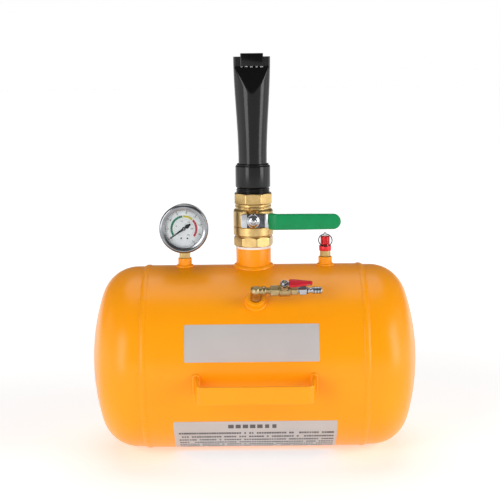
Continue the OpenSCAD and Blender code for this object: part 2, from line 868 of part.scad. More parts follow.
// Half width, half depth and how square the nozzle is at height z
function nozzle_a(z) = tube_r
    + (mouth_w / 2 - tube_r) * ease((z - taper_start) / (mouth_z - taper_start));
function nozzle_b(z) = tube_r
    - (tube_r - mouth_t / 2) * ease((z - squeeze_start) / (squeeze_end - squeeze_start));
function nozzle_k(z) = z <= flat_start ? 0
    : pow(min(1, (z - flat_start) / (mouth_z - hook_lap - flat_start)), flat_power);

// A round tube that turns into a flat slot: one ring of points at height z
function nozzle_ring(z, inset, n) =
    let (
        k = nozzle_k(z), a = nozzle_a(z), b = nozzle_b(z),
        rx = a * (1 - k) + mouth_r * k, ry = b * (1 - k) + mouth_r * k,
        qx = max(rx - inset, 0.8), qy = max(ry - inset, 0.8),
        f = a - inset - qx, g = b - inset - qy
    )
    [for (i = [0:n - 1]) let (t = 360 * i / n)
        [f * sign(cos(t)) + qx * cos(t), g * sign(sin(t)) + qy * sin(t), z]];

module nozzle_tube() {
    sides = 48;
    heights = concat([adapter_top - tube_seat],
        [for (i = [0:nozzle_steps]) taper_start + nozzle_step * i],
        [(squeeze_end + mouth_z) / 2, mouth_z]);
    rings = len(heights);
    outer = [for (z = heights) each nozzle_ring(z, 0, sides)];
    inner = [for (z = heights) each nozzle_ring(z, tube_wall, sides)];
    shift = rings * sides;
    walls = [for (j = [0:rings - 2], i = [0:sides - 1]) let (
        a = j * sides + i, b = j * sides + (i + 1) % sides, c = a + sides, d = b + sides)
        each [[a, c, b], [b, c, d], [shift + a, shift + b, shift + c],
              [shift + b, shift + d, shift + c]]];
    ends = [for (j = [0, rings - 1], i = [0:sides - 1]) let (
        a = j * sides + i, b = j * sides + (i + 1) % sides, c = shift + a, d = shift + b)
        each (j == 0 ? [[a, b, c], [b, d, c]] : [[a, c, b], [b, c, d]])];
    color("#1c1c1e") polyhedron(concat(outer, inner), concat(walls, ends));
}

module nozzle_weld() {
    color("#232325") rotate_extrude() polygon([
        [tube_r, adapter_top], [pipe_r - 1.6, adapter_top], [tube_r + 1.4, adapter_top + 1.8],
        [tube_r, adapter_top + 3.4]]);
}

// A plate on the front of the mouth that catches the wheel's rim
module nozzle_hook() {
    h = hook_lap + hook_rise;
    color("#1c1c1e") translate([-hook_w / 2, -mouth_t / 2, mouth_z - hook_lap])
        rotate([90, 0, 90]) linear_extrude(hook_w) polygon([
            [0, 0], [-hook_t, 0.8], [-hook_t, h - 2.2], [0.6 - hook_t, h], [0, h]]);
}

// A bead under the plate, laid against the tube's front as it leans out below the mouth
module hook_weld() {
    bead = 0.8 * hook_t;
    lean = (nozzle_b(squeeze_end - nozzle_step) - mouth_t / 2) * bead / nozzle_step;
    // The bead's curve stops this far short of the tube, however steeply the tube leans
    toe = 6;
    curve_end = 270 - atan2(lean, bead) - toe;
    color("#232325") translate([1 - hook_w / 2, -mouth_t / 2, squeeze_end])
        rotate([90, 0, 90]) linear_extrude(hook_w - 2) polygon(concat([[0, 0]],
            arc([0, 0], bead, 180 - atan2(0.8, hook_t), curve_end, 6), [[-lean, -bead]]));
}

// ---- Pressure gauge ----

// The gauge's own frame: Z points at the viewer of the dial, Y points up
module at_gauge() {
    translate([gauge_x, 0, gauge_z]) rotate([90, 0, 0]) children();
}

module gauge_case() {
    hole = socket_flats + 2 * seat_gap;
    color("#c9ccce") at_gauge() difference() {
        translate([0, 0, -case_back]) cylinder(r = case_r, h = case_back + case_front);
        translate([0, 0, case_wall - case_back])
            cylinder(r = case_r - case_wall, h = case_back + case_front);
        translate([-hole / 2, -case_r - 5, -hole / 2]) cube([hole, 15, hole]);
    }
}

module gauge_bezel() {
    inner = case_r + seat_gap;
    lens_top = case_front + gasket_t + lens_t;
    color("#d4d6d8") at_gauge() rotate_extrude() polygon([
        [inner, case_front - 4], [bezel_r - 0.8, case_front - 4], [bezel_r, case_front - 3],
        [bezel_r, lens_top - 0.5], [bezel_r - 1.4, lens_top + 1],
        [bezel_r - 3, lens_top + bezel_lip], [window_r + 0.4, lens_top + 0.7],
        [window_r, lens_top], [inner, lens_top]]);
}

module gauge_lens() {
    color([0.85, 0.92, 0.95, 0.35]) at_gauge() translate([0, 0, case_front + gasket_t])
        cylinder(r = case_r - 0.1, h = lens_t);
}

module lens_gasket() {
    color("#2b2b2c") at_gauge() translate([0, 0, case_front]) difference() {
        cylinder(r = case_r - 0.1, h = gasket_t);
        translate([0, 0, -1]) cylinder(r = window_r + 1, h = gasket_t + 2);
    }
}

module gauge_dial() {
    color("#f4f4f1") at_gauge() translate([0, 0, dial_y]) difference() {
        cylinder(r = case_r - case_wall - 0.2, h = dial_t);
        translate([0, 0, -1]) cylinder(r = arbor_r + 0.6, h = dial_t + 2);
        for (p = dial_posts) translate([p[0], p[1], -1])
            cylinder(r = dial_screw_r + seat_gap, h = dial_t + 2);
    }
}

module dial_screws() {
    color("#8c8f92") at_gauge() for (p = dial_posts) translate([p[0], p[1], dial_y + dial_t]) {
        cylinder(r = 2 * dial_screw_r, h = 0.6);
        translate([0, 0, -2]) cylinder(r = dial_screw_r, h = 2.1);
    }
}

module gauge_socket() {
    inner_r = case_r - case_wall;
    square_top = gauge_rise - sqrt(inner_r * inner_r - block_w * block_w / 4) + 0.3;
    block_front = back_plate_y;
    color("#c9a257") translate([gauge_x, 0, boss_z]) difference() {
        union() {
            translate([0, 0, -small_thread_l]) cylinder(r = small_thread_r, h = small_thread_l + 1);
            translate([-socket_flats / 2, -socket_flats / 2, 0.6])
                cube([socket_flats, socket_flats, square_top]);
            translate([-block_w / 2, -block_front, square_top])
                cube([block_w, block_front + block_w / 2, gauge_rise + block_top - square_top]);
        }
        translate([0, 0, -through]) cylinder(r = 1.5, h = through + square_top);
    }
}

module bourdon_tube() {
    color("#b98d45") difference() {
        at_gauge() translate([0, 0, tube_y]) rotate([0, 0, -78])
            rotate_extrude(angle = 268) difference() {
                translate([tube_mean_r, 0]) square(tube_section, center = true);
                translate([tube_mean_r, 0]) square(tube_section - [0.8, 0.8], center = true);
            }
        translate([gauge_x - block_w / 2, -case_front, boss_z])
            cube([block_w, case_front + case_back, gauge_rise]);
    }
}

// Two plates on pillars that carry the arbors, and two posts for the dial
module gauge_movement() {
    left = -8 * layout;
    low = -20 * layout;
    size = [25.5, 26] * layout;
    holes = [[0, 0], sector_pivot];
    color("#c4a468") at_gauge() {
        translate([0, 0, back_plate_y]) linear_extrude(plate_t) difference() {
            union() {
                translate([left, low]) square(size);
                translate([1 - block_w / 2, block_top - 5]) square([block_w - 2, 10]);
            }
            for (p = holes) translate(p) circle(r = arbor_r + run_gap);
        }
        translate([0, 0, front_plate_y]) linear_extrude(plate_t) difference() {
            translate([left, low]) square(size);
            for (p = holes) translate(p) circle(r = arbor_r + run_gap);
        }
        for (p = layout * [[-5, 3], [-5, -17], [15, -17]]) translate([p[0], p[1], back_plate_y])
            cylinder(r = 1.5, h = front_plate_y - back_plate_y + plate_t);
        for (p = dial_posts) translate([p[0], p[1], front_plate_y]) difference() {
            cylinder(r = 1.6, h = dial_y - front_plate_y);
            translate([0, 0, plate_t]) cylinder(r = dial_screw_r + seat_gap, h = 5);
        }
    }
}

// Teeth of a wheel of n teeth, for the teeth numbered first to last counted from angle a
function teeth(n, a, first, last, thin) =
    let (pitch = 360 / n, r = tooth_module * n / 2, share = pitch * thin)
    [for (i = [first:last]) let (c = a + i * pitch)
        each [for (p = [[-0.5, -1.15], [-0.17, 0.85], [0.17, 0.85], [0.5, -1.15]])
            (r + p[1] * tooth_module) * [cos(c + p[0] * share), sin(c + p[0] * share)]]];

module arbor(low, high) {
    translate([0, 0, low]) cylinder(r = arbor_r, h = high - low);
}

module sector_gear() {
    contact = gear_way + 180;
    pitch = 360 / sector_teeth;
    first = -ceil((sector_travel + sector_margin) / pitch);
    last = ceil(sector_margin / pitch);
    color("#c9a257") at_gauge() translate(sector_pivot) {
        translate([0, 0, gear_y]) {
            linear_extrude(gear_t) difference() {
                polygon(concat([[0, 0]], teeth(sector_teeth, contact, first, last, 0.6)));
                polygon(concat(
                    arc([0, 0], 5 * layout, contact - sector_travel, contact, 6),
                    arc([0, 0], 11 * layout, contact, contact - sector_travel, 6)));
            }
            cylinder(r = 2.4, h = gear_t);
        }
        arbor(back_plate_y + 0.1, front_plate_y + plate_t);
    }
}

module pinion_arbor() {
    color("#c9a257") at_gauge() {
        translate([0, 0, gear_y - 0.5]) linear_extrude(gear_t + 1) polygon(
            teeth(pinion_teeth, gear_way + 180 / pinion_teeth, 0, pinion_teeth - 1, 0.6));
        arbor(back_plate_y + 0.1, pointer_y + 1.2);
    }
}

module gauge_pointer() {
    color("#1b1b1d") at_gauge() translate([0, 0, pointer_y]) difference() {
        union() {
            rotate([0, 0, pointer_zero]) linear_extrude(pointer_t) polygon([
                [pointer_length, 0.25], [0, 0.9], [-3, 0.7], [-10, 2.2], [-11, 0],
                [-10, -2.2], [-3, -0.7], [0, -0.9], [pointer_length, -0.25]]);
            cylinder(r = 2.4, h = 1);
        }
        translate([0, 0, -1]) cylinder(r = arbor_r + seat_gap, h = 3);
    }
}

// ---- Relief valve ----

module at_relief() {
    translate([relief_x, 0, boss_z]) children();
}

module relief_body() {
    color("#d6b673") at_relief() difference() {
        union() {
            translate([0, 0, -small_thread_l]) cylinder(r = small_thread_r, h = small_thread_l + 1);
            turned_prism(relief_flats, 6, relief_hex_h, true, false);
            cylinder(r = small_spigot_r, h = spigot_top);
        }
        translate([0, 0, -small_thread_l - 1]) cylinder(r = 2.6, h = through);
        translate([0, 0, disc_z]) cylinder(r = chamber_r, h = through);
        translate([0, 0, vent_z]) rotate([90, 0, 30]) cylinder(r = 1.2, h = relief_flats);
    }
}

module relief_cap() {
    bevel = 1.3;
    barrel_r = cap_barrel_d / 2;
    color("#d8262a") at_relief() difference() {
        union() {
            translate([0, 0, cap_z]) cylinder(d = cap_flange_d, h = cap_flange_h - 0.8);
            translate([0, 0, barrel_z - 0.8])
                cylinder(r1 = cap_flange_d / 2, r2 = cap_flange_d / 2 - 0.8, h = 0.8);
            translate([0, 0, cap_z]) cylinder(r = barrel_r, h = cap_top - cap_z - bevel);
            translate([0, 0, cap_top - bevel])
                cylinder(r1 = barrel_r, r2 = barrel_r - bevel, h = bevel);
        }
        cylinder(r = small_spigot_r + seat_gap, h = spigot_top + 0.2);
        cylinder(r = chamber_r, h = spring_high);
        cylinder(r = pull_r + run_gap, h = through);
    }
}

module relief_stem() {
    color("#d5d8da") at_relief() difference() {
        union() {
            translate([0, 0, disc_z + disc_t]) cylinder(r = chamber_r - 0.3, h = 1);
            translate([0, 0, disc_z + disc_t])
                cylinder(r = pull_r, h = cap_top + pull_stem_rise - disc_z - disc_t);
        }
        translate([0, 0, eye_z]) along_x() cylinder(r = eye_r, h = through, center = true);
    }
}

module relief_disc() {
    color("#2b2b2c") at_relief() translate([0, 0, disc_z])
        cylinder(r = chamber_r - 0.3, h = disc_t);
}

module relief_spring() {
    sides = 8;
    per_turn = 14;
    last = spring_turns * per_turn;
    low = spring_low + spring_wire_r;
    rise = spring_high - spring_wire_r - low;
    points = [for (i = [0:last]) let (a = 360 * i / per_turn) each
        [for (j = [0:sides - 1]) let (
            r = spring_r + spring_wire_r * cos(360 * j / sides),
            z = low + rise * i / last + spring_wire_r * sin(360 * j / sides))
            [r * cos(a), r * sin(a), z]]];
    walls = [for (i = [0:last - 1], j = [0:sides - 1]) let (
        a = i * sides + j, b = i * sides + (j + 1) % sides, c = a + sides, d = b + sides)
        each [[a, b, c], [b, d, c]]];
    ends = [[for (j = [sides - 1:-1:0]) j], [for (j = [0:sides - 1]) last * sides + j]];
    color("#b9bcbf") at_relief() polyhedron(points, concat(walls, ends));
}

module relief_ring() {
    color("#b4b7ba") at_relief() translate([0, 0, eye_z]) rotate([90 - ring_lean, 0, 0])
        translate([0, -ring_d / 2, 0]) rotate_extrude()
            translate([ring_d / 2, 0]) circle(d = ring_wire, $fn = 24);
}

// ---- Inlet line ----

// The line's own frame: X along the line from the boss, Z straight out of the shell
module on_line(x) {
    on_shell(inlet_x, inlet_angle) translate([x, 0, line_stand]) children();
}

module inlet_elbow() {
    color("#b8935a") difference() {
        union() {
            on_shell(inlet_x, inlet_angle) translate([0, 0, 1])
                cylinder(r = leg_r, h = line_stand - 1);
            on_line(0) sphere(r = leg_r + 0.55);
            on_line(0) along_x() {
                cylinder(r = arm_r, h = arm_length);
                cylinder(r = line_thread_r, h = inlet_start + line_socket - 0.2);
            }
        }
        on_shell(inlet_x, inlet_angle) cylinder(r = line_bore_r, h = line_stand);
        on_line(0) sphere(r = line_bore_r + 0.2);
        on_line(0) along_x() cylinder(r = line_bore_r, h = through);
    }
}

module inlet_valve_body() {
    half = inlet_mid_l / 2;
    color("#cdb27c") on_line(inlet_ball_x) difference() {
        union() {
            translate([-half - inlet_hex_l, 0, 0]) along_x()
                turned_prism(inlet_flats, 6, inlet_hex_l, true, true);
            translate([-half, 0, 0]) along_x() rotate_extrude() polygon([
                [0, -1], [inlet_mid_d / 2 - 1.6, -1], [inlet_mid_d / 2 - 1.6, 0.4],
                [inlet_mid_d / 2, 2], [inlet_mid_d / 2, inlet_mid_l], [0, inlet_mid_l]]);
            cylinder(r = inlet_tower_r, h = inlet_tower_h);
        }
        translate([-half - inlet_hex_l - 1, 0, 0]) along_x()
            cylinder(r = line_thread_r + seat_gap, h = line_socket + 1);
        along_x() {
            cylinder(r = line_bore_r, h = through, center = true);
            translate([0, 0, -inlet_seat_far])
                cylinder(r = inlet_seat_r + seat_gap, h = inlet_seat_far);
            translate([0, 0, -inlet_seat_near]) cylinder(r = inlet_cavity_r, h = through);
            translate([0, 0, inlet_seat_near]) cylinder(r = insert_spigot_r + seat_gap, h = through);
        }
        cylinder(r = inlet_stem_r + run_gap, h = through);
        cylinder(r = inlet_shoulder_r + 0.3, h = inlet_shoulder_z + inlet_shoulder_t + run_gap);
    }
}

module inlet_insert() {
    spigot_start = max(inlet_seat_near, inlet_shoulder_r + 0.3);
    spigot = inlet_mid_l / 2 - spigot_start;
    groove = 1.1;
    color("#cdb27c") on_line(insert_start) along_x() difference() {
        union() {
            translate([0, 0, -spigot]) cylinder(r = insert_spigot_r, h = spigot);
            cylinder(r = insert_flats / 2 - 0.5, h = groove + 1);
            translate([0, 0, groove])
                turned_prism(insert_flats, 6, insert_l - groove, true, true);
        }
        translate([0, 0, -spigot - 1]) cylinder(r = line_bore_r, h = through);
        translate([0, 0, -spigot - 1])
            cylinder(r = inlet_seat_r + seat_gap, h = inlet_seat_far - spigot_start + 1);
        translate([0, 0, insert_l - insert_socket])
            cylinder(r = line_thread_r + seat_gap, h = through);
    }
}

module inlet_seats() {
    color("#efece4") on_line(inlet_ball_x) along_x()
        seat_pair(inlet_ball_r, line_bore_r + 0.2, inlet_seat_r, inlet_seat_near, inlet_seat_far);
}

module inlet_ball() {
    color("#d9d9da") on_line(inlet_ball_x)
        ball(inlet_ball_r, line_bore_r, inlet_tang_z - run_gap, inlet_tang_w + 2 * run_gap);
}

module inlet_stem() {
    color("#c9a257") on_line(inlet_ball_x) difference() {
        union() {
            translate([-inlet_tang_l / 2, -inlet_tang_w / 2, inlet_tang_z])
                cube([inlet_tang_l, inlet_tang_w, inlet_shoulder_z - inlet_tang_z + 0.4]);
            translate([0, 0, inlet_shoulder_z]) cylinder(r = inlet_shoulder_r, h = inlet_shoulder_t);
            translate([0, 0, inlet_shoulder_z])
                cylinder(r = inlet_stem_r, h = inlet_lever_stand - inlet_shoulder_z);
            translate([-inlet_square / 2, -inlet_square / 2, inlet_lever_stand - 1])
                cube([inlet_square, inlet_square, inlet_lever_t + 1]);
            translate([0, 0, inlet_lever_stand])
                cylinder(r = inlet_square / 2 - 0.1, h = inlet_lever_t + inlet_nut_h + 0.6);
        }
        translate([0, 0, seal_z]) difference() {
            cylinder(r = inlet_stem_r + 1, h = seal_h);
            cylinder(r = seal_r, h = seal_h);
        }
    }
}

module inlet_packing() {
    color("#2b2b2c") on_line(inlet_ball_x) translate([0, 0, seal_z]) difference() {
        cylinder(r = inlet_stem_r, h = seal_h);
        translate([0, 0, -1]) cylinder(r = seal_r + seat_gap, h = seal_h + 2);
    }
}

module inlet_lever() {
    hole = inlet_square + 2 * seat_gap;
    color("#c9ccce") on_line(inlet_ball_x) difference() {
        translate([0, 0, inlet_lever_stand]) linear_extrude(inlet_lever_t) {
            bar_outline(-inlet_square, inlet_lever_reach - 1.5, inlet_blade_w, 2, 2);
            circle(r = inlet_hub_r);
        }
        translate([0, 0, inlet_lever_stand]) cube([hole, hole, 3 * inlet_lever_t], center = true);
    }
}

module inlet_grip() {
    start = 6;
    tip_w = inlet_grip_w * 0.72;
    tip = inlet_lever_reach;
    color("#c8202f") on_line(inlet_ball_x) difference() {
        translate([0, 0, inlet_lever_stand + inlet_lever_t / 2 - inlet_grip_t / 2])
            linear_extrude(inlet_grip_t) polygon(concat(
                [[start, -inlet_grip_w / 2]],
                arc([tip - 3, 3 - tip_w / 2], 3, 270, 360, 6),
                arc([tip - 2, tip_w / 2 - 2], 2, 0, 90, 6),
                [[start, inlet_grip_w / 2]]));
        translate([0, 0, inlet_lever_stand - seat_gap])
            linear_extrude(inlet_lever_t + 2 * seat_gap) bar_outline(-inlet_square,
                inlet_lever_reach - 1.4, inlet_blade_w + 2 * seat_gap, 2, 2);
    }
}

module inlet_nut() {
    color("#d9dbdd") on_line(inlet_ball_x)
        translate([0, 0, inlet_lever_stand + inlet_lever_t]) difference() {
            turned_prism(inlet_nut_flats, 6, inlet_nut_h, false, true);
            translate([0, 0, -1])
                cylinder(r = inlet_square / 2 - 0.1 + seat_gap, h = inlet_nut_h + 2);
        }
}

module air_plug() {
    nose_r = plug_nose_d / 2;
    groove_r = plug_groove_d / 2;
    collar_end = plug_start + plug_hex_l + 3.3;
    tip_bevel = 1.2;
    color("#d4d6d8") on_line(0) along_x() difference() {
        union() {
            rotate_extrude() polygon([
                [0, inlet_end - insert_socket + 0.2],
                [line_thread_r, inlet_end - insert_socket + 0.2],
                [line_thread_r, plug_start + 1], [nose_r, plug_start + 1],
                [nose_r, collar_end], [groove_r, collar_end + 0.9],
                [groove_r, nose_start - 1], [nose_r, nose_start],
                [nose_r, plug_end - tip_bevel], [nose_r - 1, plug_end], [0, plug_end]]);
            translate([0, 0, plug_start]) turned_prism(plug_flats, 6, plug_hex_l, true, true);
        }
        cylinder(r = line_bore_r, h = 3 * through);
    }
}

tank_shell();
left_head();
right_head();
girth_welds();
seam_weld();
neck_pipe();
neck_weld();
neck_tape();
gauge_boss();
relief_boss();
inlet_boss();
boss_welds();
carry_handle();
handle_welds();
name_label();
caution_label();
valve_body();
valve_end_cap();
valve_seats();
valve_ball();
valve_stem();
stem_packing();
gland_nut();
lever_plate();
lever_sleeve();
lever_nut();
nozzle_adapter();
nozzle_tube();
nozzle_weld();
nozzle_hook();
hook_weld();
gauge_case();
gauge_bezel();
gauge_lens();
lens_gasket();
gauge_dial();
dial_screws();
gauge_socket();
bourdon_tube();
gauge_movement();
sector_gear();
pinion_arbor();
gauge_pointer();
relief_body();
relief_cap();
relief_stem();
relief_disc();
relief_spring();
relief_ring();
inlet_elbow();
inlet_valve_body();
inlet_insert();
inlet_seats();
inlet_ball();
inlet_stem();
inlet_packing();
inlet_lever();
inlet_grip();
inlet_nut();
air_plug();
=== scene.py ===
# Bead seater blaster tank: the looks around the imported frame.
import json
import math
import random

import bmesh
import bpy
from mathutils import Matrix, Vector


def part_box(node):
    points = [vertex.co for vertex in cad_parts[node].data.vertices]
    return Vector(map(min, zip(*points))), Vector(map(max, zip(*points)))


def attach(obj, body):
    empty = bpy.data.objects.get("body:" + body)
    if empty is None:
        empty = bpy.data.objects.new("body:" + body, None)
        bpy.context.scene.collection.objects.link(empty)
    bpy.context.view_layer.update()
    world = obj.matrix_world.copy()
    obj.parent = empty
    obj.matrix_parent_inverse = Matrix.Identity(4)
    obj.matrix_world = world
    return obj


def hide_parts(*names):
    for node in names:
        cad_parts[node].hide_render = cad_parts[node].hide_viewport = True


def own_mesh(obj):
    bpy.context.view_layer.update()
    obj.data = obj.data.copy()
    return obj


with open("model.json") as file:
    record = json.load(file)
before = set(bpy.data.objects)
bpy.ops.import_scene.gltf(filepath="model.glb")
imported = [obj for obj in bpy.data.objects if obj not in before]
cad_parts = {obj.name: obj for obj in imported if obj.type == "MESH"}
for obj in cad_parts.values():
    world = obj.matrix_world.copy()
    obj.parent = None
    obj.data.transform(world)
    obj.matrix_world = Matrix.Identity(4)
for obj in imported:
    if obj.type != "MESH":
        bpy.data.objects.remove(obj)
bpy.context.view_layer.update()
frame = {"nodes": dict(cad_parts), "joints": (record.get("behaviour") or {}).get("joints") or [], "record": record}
mm = 0.001
joints = {joint["name"]: joint for joint in frame["joints"]}


# Places, all read from the frame, in millimetres

def boxOf(node):
    low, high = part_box(node)
    return low / mm, high / mm


def middleOf(node):
    low, high = boxOf(node)
    return (low + high) / 2


def sizeOf(node):
    low, high = boxOf(node)
    return high - low


def pivotOf(jointName):
    return Vector(joints[jointName]["pos_m"]) / mm


shellSize = sizeOf("tank_shell")
shellR = shellSize.z / 2
shellHalf = shellSize.x / 2
axisZ = middleOf("tank_shell").z
shellTop = axisZ + shellR
valveZ = boxOf("valve_end_cap")[0].z
ballZ = pivotOf("main_lever_turn").z
gaugeCentre = middleOf("gauge_bezel")
gaugeCentre.y = 0
reliefX = middleOf("relief_body").x
bossTop = boxOf("gauge_boss")[1].z
lineOut = -Vector(joints["inlet_lever_turn"]["axis"])
lineAngle = math.atan2(lineOut.z, -lineOut.y)
carryGrip = next(mount for mount in frame["record"]["mounts"] if mount["name"] == "carry_grip")
handleOut = Vector(carryGrip["axis"])
handleAngle = math.atan2(handleOut.z, -handleOut.y)
inletStem = pivotOf("inlet_lever_turn")
inletX = middleOf("inlet_boss").x


def placedAt(x, y, z):
    return Matrix.Translation((x, y, z))


# Local Z points straight out of the shell at this angle above level
def onShell(x, angle):
    turn = Matrix.Rotation(math.pi / 2 - angle, 4, "X")
    return placedAt(x, 0, axisZ) @ turn @ placedAt(0, 0, shellR)


upright = Matrix.Rotation(math.pi / 2, 4, "X")  # local Z to the front, local Y up
alongX = Matrix.Rotation(math.pi / 2, 4, "Y")  # local Z to the right
valvePlace = placedAt(0, 0, valveZ)
stemPlace = placedAt(0, 0, ballZ) @ upright
gaugePlace = placedAt(gaugeCentre.x, 0, gaugeCentre.z) @ upright
reliefPlace = placedAt(reliefX, 0, bossTop)
inletPlace = onShell(inletX, lineAngle)
lineHeight = (inletPlace.inverted() @ inletStem).z
stemAlong = (inletPlace.inverted() @ inletStem).x
linePlace = inletPlace @ placedAt(0, 0, lineHeight)
inletStemPlace = linePlace @ placedAt(stemAlong, 0, 0)


# Small tools for meshes

def softMin(a, b, k):
    low = min(a, b)
    return low - k * math.log(math.exp((low - a) / k) + math.exp((low - b) / k))


def ease(s):
    s = max(0.0, min(1.0, s))
    return s * s * (3 - 2 * s)


def arc(centre, radius, start, end, steps):
    turn = [math.radians(start + (end - start) * i / steps) for i in range(steps + 1)]
    return [(centre[0] + radius * math.cos(a), centre[1] + radius * math.sin(a)) for a in turn]


def circle(radius, count):
    turn = [2 * math.pi * i / count for i in range(count)]
    return [(radius * math.cos(a), radius * math.sin(a)) for a in turn]


# Rounds each corner of an outline with a small curve
def rounded(points, radius, closed=True):
    steps = 3
    result = []
    count = len(points)
    for i, point in enumerate(points):
        here = Vector(point)
        if not closed and i in (0, count - 1):
            result.append(tuple(here))
            continue
        before = Vector(points[i - 1]) - here
        after = Vector(points[(i + 1) % count]) - here
        if before.length < 1e-6 or after.length < 1e-6:
            continue
        if before.angle(after) > math.radians(172):
            result.append(tuple(here))
            continue
        reach = min(radius, 0.4 * before.length, 0.4 * after.length)
        start = here + before.normalized() * reach
        end = here + after.normalized() * reach
        for step in range(steps + 1):
            t = step / steps
            result.append(tuple(start * (1 - t) ** 2 + here * 2 * t * (1 - t) + end * t ** 2))
    return result


# Adds points so that no stretch of an outline is longer than a step
def finer(points, longest, closed=True):
    result = []
    count = len(points)
    for i in range(count if closed else count - 1):
        start = Vector(points[i])
        end = Vector(points[(i + 1) % count])
        parts = max(1, math.ceil((end - start).length / longest))
        result += [tuple(start.lerp(end, j / parts)) for j in range(parts)]
    return result if closed else result + [tuple(points[-1])]


# Radius of a rounded polygon with so many flats, at an angle
def flatsRadius(angle, flats, sides, turn):
    pitch = 2 * math.pi / sides
    offset = abs((angle - turn + pitch / 2) % pitch - pitch / 2)
    return softMin(flats / 2 / math.cos(offset), flats / 2 / math.cos(pitch - offset), 0.12)


# Spins an outline of (radius, height) points; prisms are (low, high, flats, sides, turn) stretches
def turned(outline, prisms=(), around=96, closed=True, dent=None):
    points = []
    faces = []
    rows = len(outline)
    for radius, height in outline:
        for i in range(around):
            angle = 2 * math.pi * i / around
            reach = radius
            for low, high, flats, sides, turn in prisms:
                if low - 1e-6 <= height <= high + 1e-6 and radius > flats * 0.42:
                    reach = softMin(radius, flatsRadius(angle, flats, sides, turn), 0.1)
            if dent:
                reach += dent(angle, height)
            points.append((reach * math.cos(angle), reach * math.sin(angle), height))
    for row in range(rows if closed else rows - 1):
        low = row * around
        high = (row + 1) % rows * around
        for i in range(around):
            j = (i + 1) % around
            faces.append((low + i, low + j, high + j, high + i))
    return points, faces


# Spins a rounded outline that starts and ends on the axis
def knob(outline, edge, around):
    return turned(rounded(outline, edge, closed=False), around=around, closed=False)


# A tube or bar: rings of the same number of points, closed at both ends
def lofted(rings):
    count = len(rings[0])
    points = [point for ring in rings for point in ring]
    faces = []
    for low in range(0, len(points) - count, count):
        high = low + count
        for i in range(count):
            j = (i + 1) % count
            faces.append((low + i, low + j, high + j, high + i))
    faces.append(tuple(reversed(range(count))))
    faces.append(tuple(range(len(points) - count, len(points))))
    return points, faces


def joined(*parts):
    points = []
    faces = []
    for partPoints, partFaces in parts:
        start = len(points)
        points += [tuple(point) for point in partPoints]
        faces += [tuple(index + start for index in face) for face in partFaces]
    return points, faces


def moved(part, place):
    return [tuple(place @ Vector(point)) for point in part[0]], part[1]


# Half-width w and half-thickness t with rounded corners, in the plane of two directions
def roundedSection(centre, side, out, w, t, corner, steps=4):
    corner = min(corner, w * 0.98, t * 0.98)
    ring = []
    for quarter, (sx, sy) in enumerate([(1, 1), (-1, 1), (-1, -1), (1, -1)]):
        for step in range(steps + 1):
            a = math.radians(90 * quarter + 90 * step / steps)
            x = sx * (w - corner) + corner * math.cos(a)
            y = sy * (t - corner) + corner * math.sin(a)
            ring.append(Vector(centre) + Vector(side) * x + Vector(out) * y)
    return ring


def finishPiece(piece, body, finish, replaced=()):
    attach(piece, body)
    if replaced:
        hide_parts(*replaced)
    if not piece.data.materials:
        piece.data.materials.append(finishes[finish])
    return piece


def cleaned(mesh, smoothAngle):
    work = bmesh.new()
    work.from_mesh(mesh)
    bmesh.ops.remove_doubles(work, verts=work.verts, dist=2e-6)
    slivers = [face for face in work.faces if face.calc_area() < 1e-12]
    bmesh.ops.delete(work, geom=slivers, context="FACES_ONLY")
    bmesh.ops.recalc_face_normals(work, faces=work.faces)
    work.to_mesh(mesh)
    work.free()
    mesh.shade_smooth()
    mesh.set_sharp_from_angle(angle=math.radians(smoothAngle))


# Makes one finished piece from points in millimetres
def addPiece(name, part, place, body, finish, replaced=(), smoothAngle=38):
    mesh = bpy.data.meshes.new(name)
    mesh.from_pydata([tuple(place @ Vector(point) * mm) for point in part[0]], [], part[1])
    cleaned(mesh, smoothAngle)
    piece = bpy.data.objects.new(name, mesh)
    bpy.context.scene.collection.objects.link(piece)
    return finishPiece(piece, body, finish, replaced)


# Adds a node with its settings; an input is a value, an output, or a node for its first output
def addNode(tree, kind, inputs=None, **settings):
    node = tree.nodes.new(kind)
    for key, value in settings.items():
        setattr(node, key, value)
    for key, value in (inputs or {}).items():
        if isinstance(value, bpy.types.Node):
            value = value.outputs[0]
        if isinstance(value, bpy.types.NodeSocket):
            tree.links.new(value, node.inputs[key])
        else:
            node.inputs[key].default_value = value
    return node


# Starts a geometry tree with named number inputs and gives its tree, input and output nodes
def geometryTree(name, numbers):
    tree = bpy.data.node_groups.new(name, "GeometryNodeTree")
    tree.interface.new_socket("Geometry", in_out="INPUT", socket_type="NodeSocketGeometry")
    for label, value in numbers.items():
        kind = "NodeSocketInt" if isinstance(value, int) else "NodeSocketFloat"
        tree.interface.new_socket(label, in_out="INPUT", socket_type=kind).default_value = value
    tree.interface.new_socket("Geometry", in_out="OUTPUT", socket_type="NodeSocketGeometry")
    return tree, tree.nodes.new("NodeGroupInput").outputs, tree.nodes.new("NodeGroupOutput")


# Ends a geometry tree with real geometry in one finish
def endTree(tree, out, shape, finish):
    real = addNode(tree, "GeometryNodeRealizeInstances", {"Geometry": shape})
    coated = addNode(tree, "GeometryNodeSetMaterial", {"Geometry": real, "Material": finishes[finish]})
    tree.links.new(coated.outputs[0], out.inputs[0])
    return tree


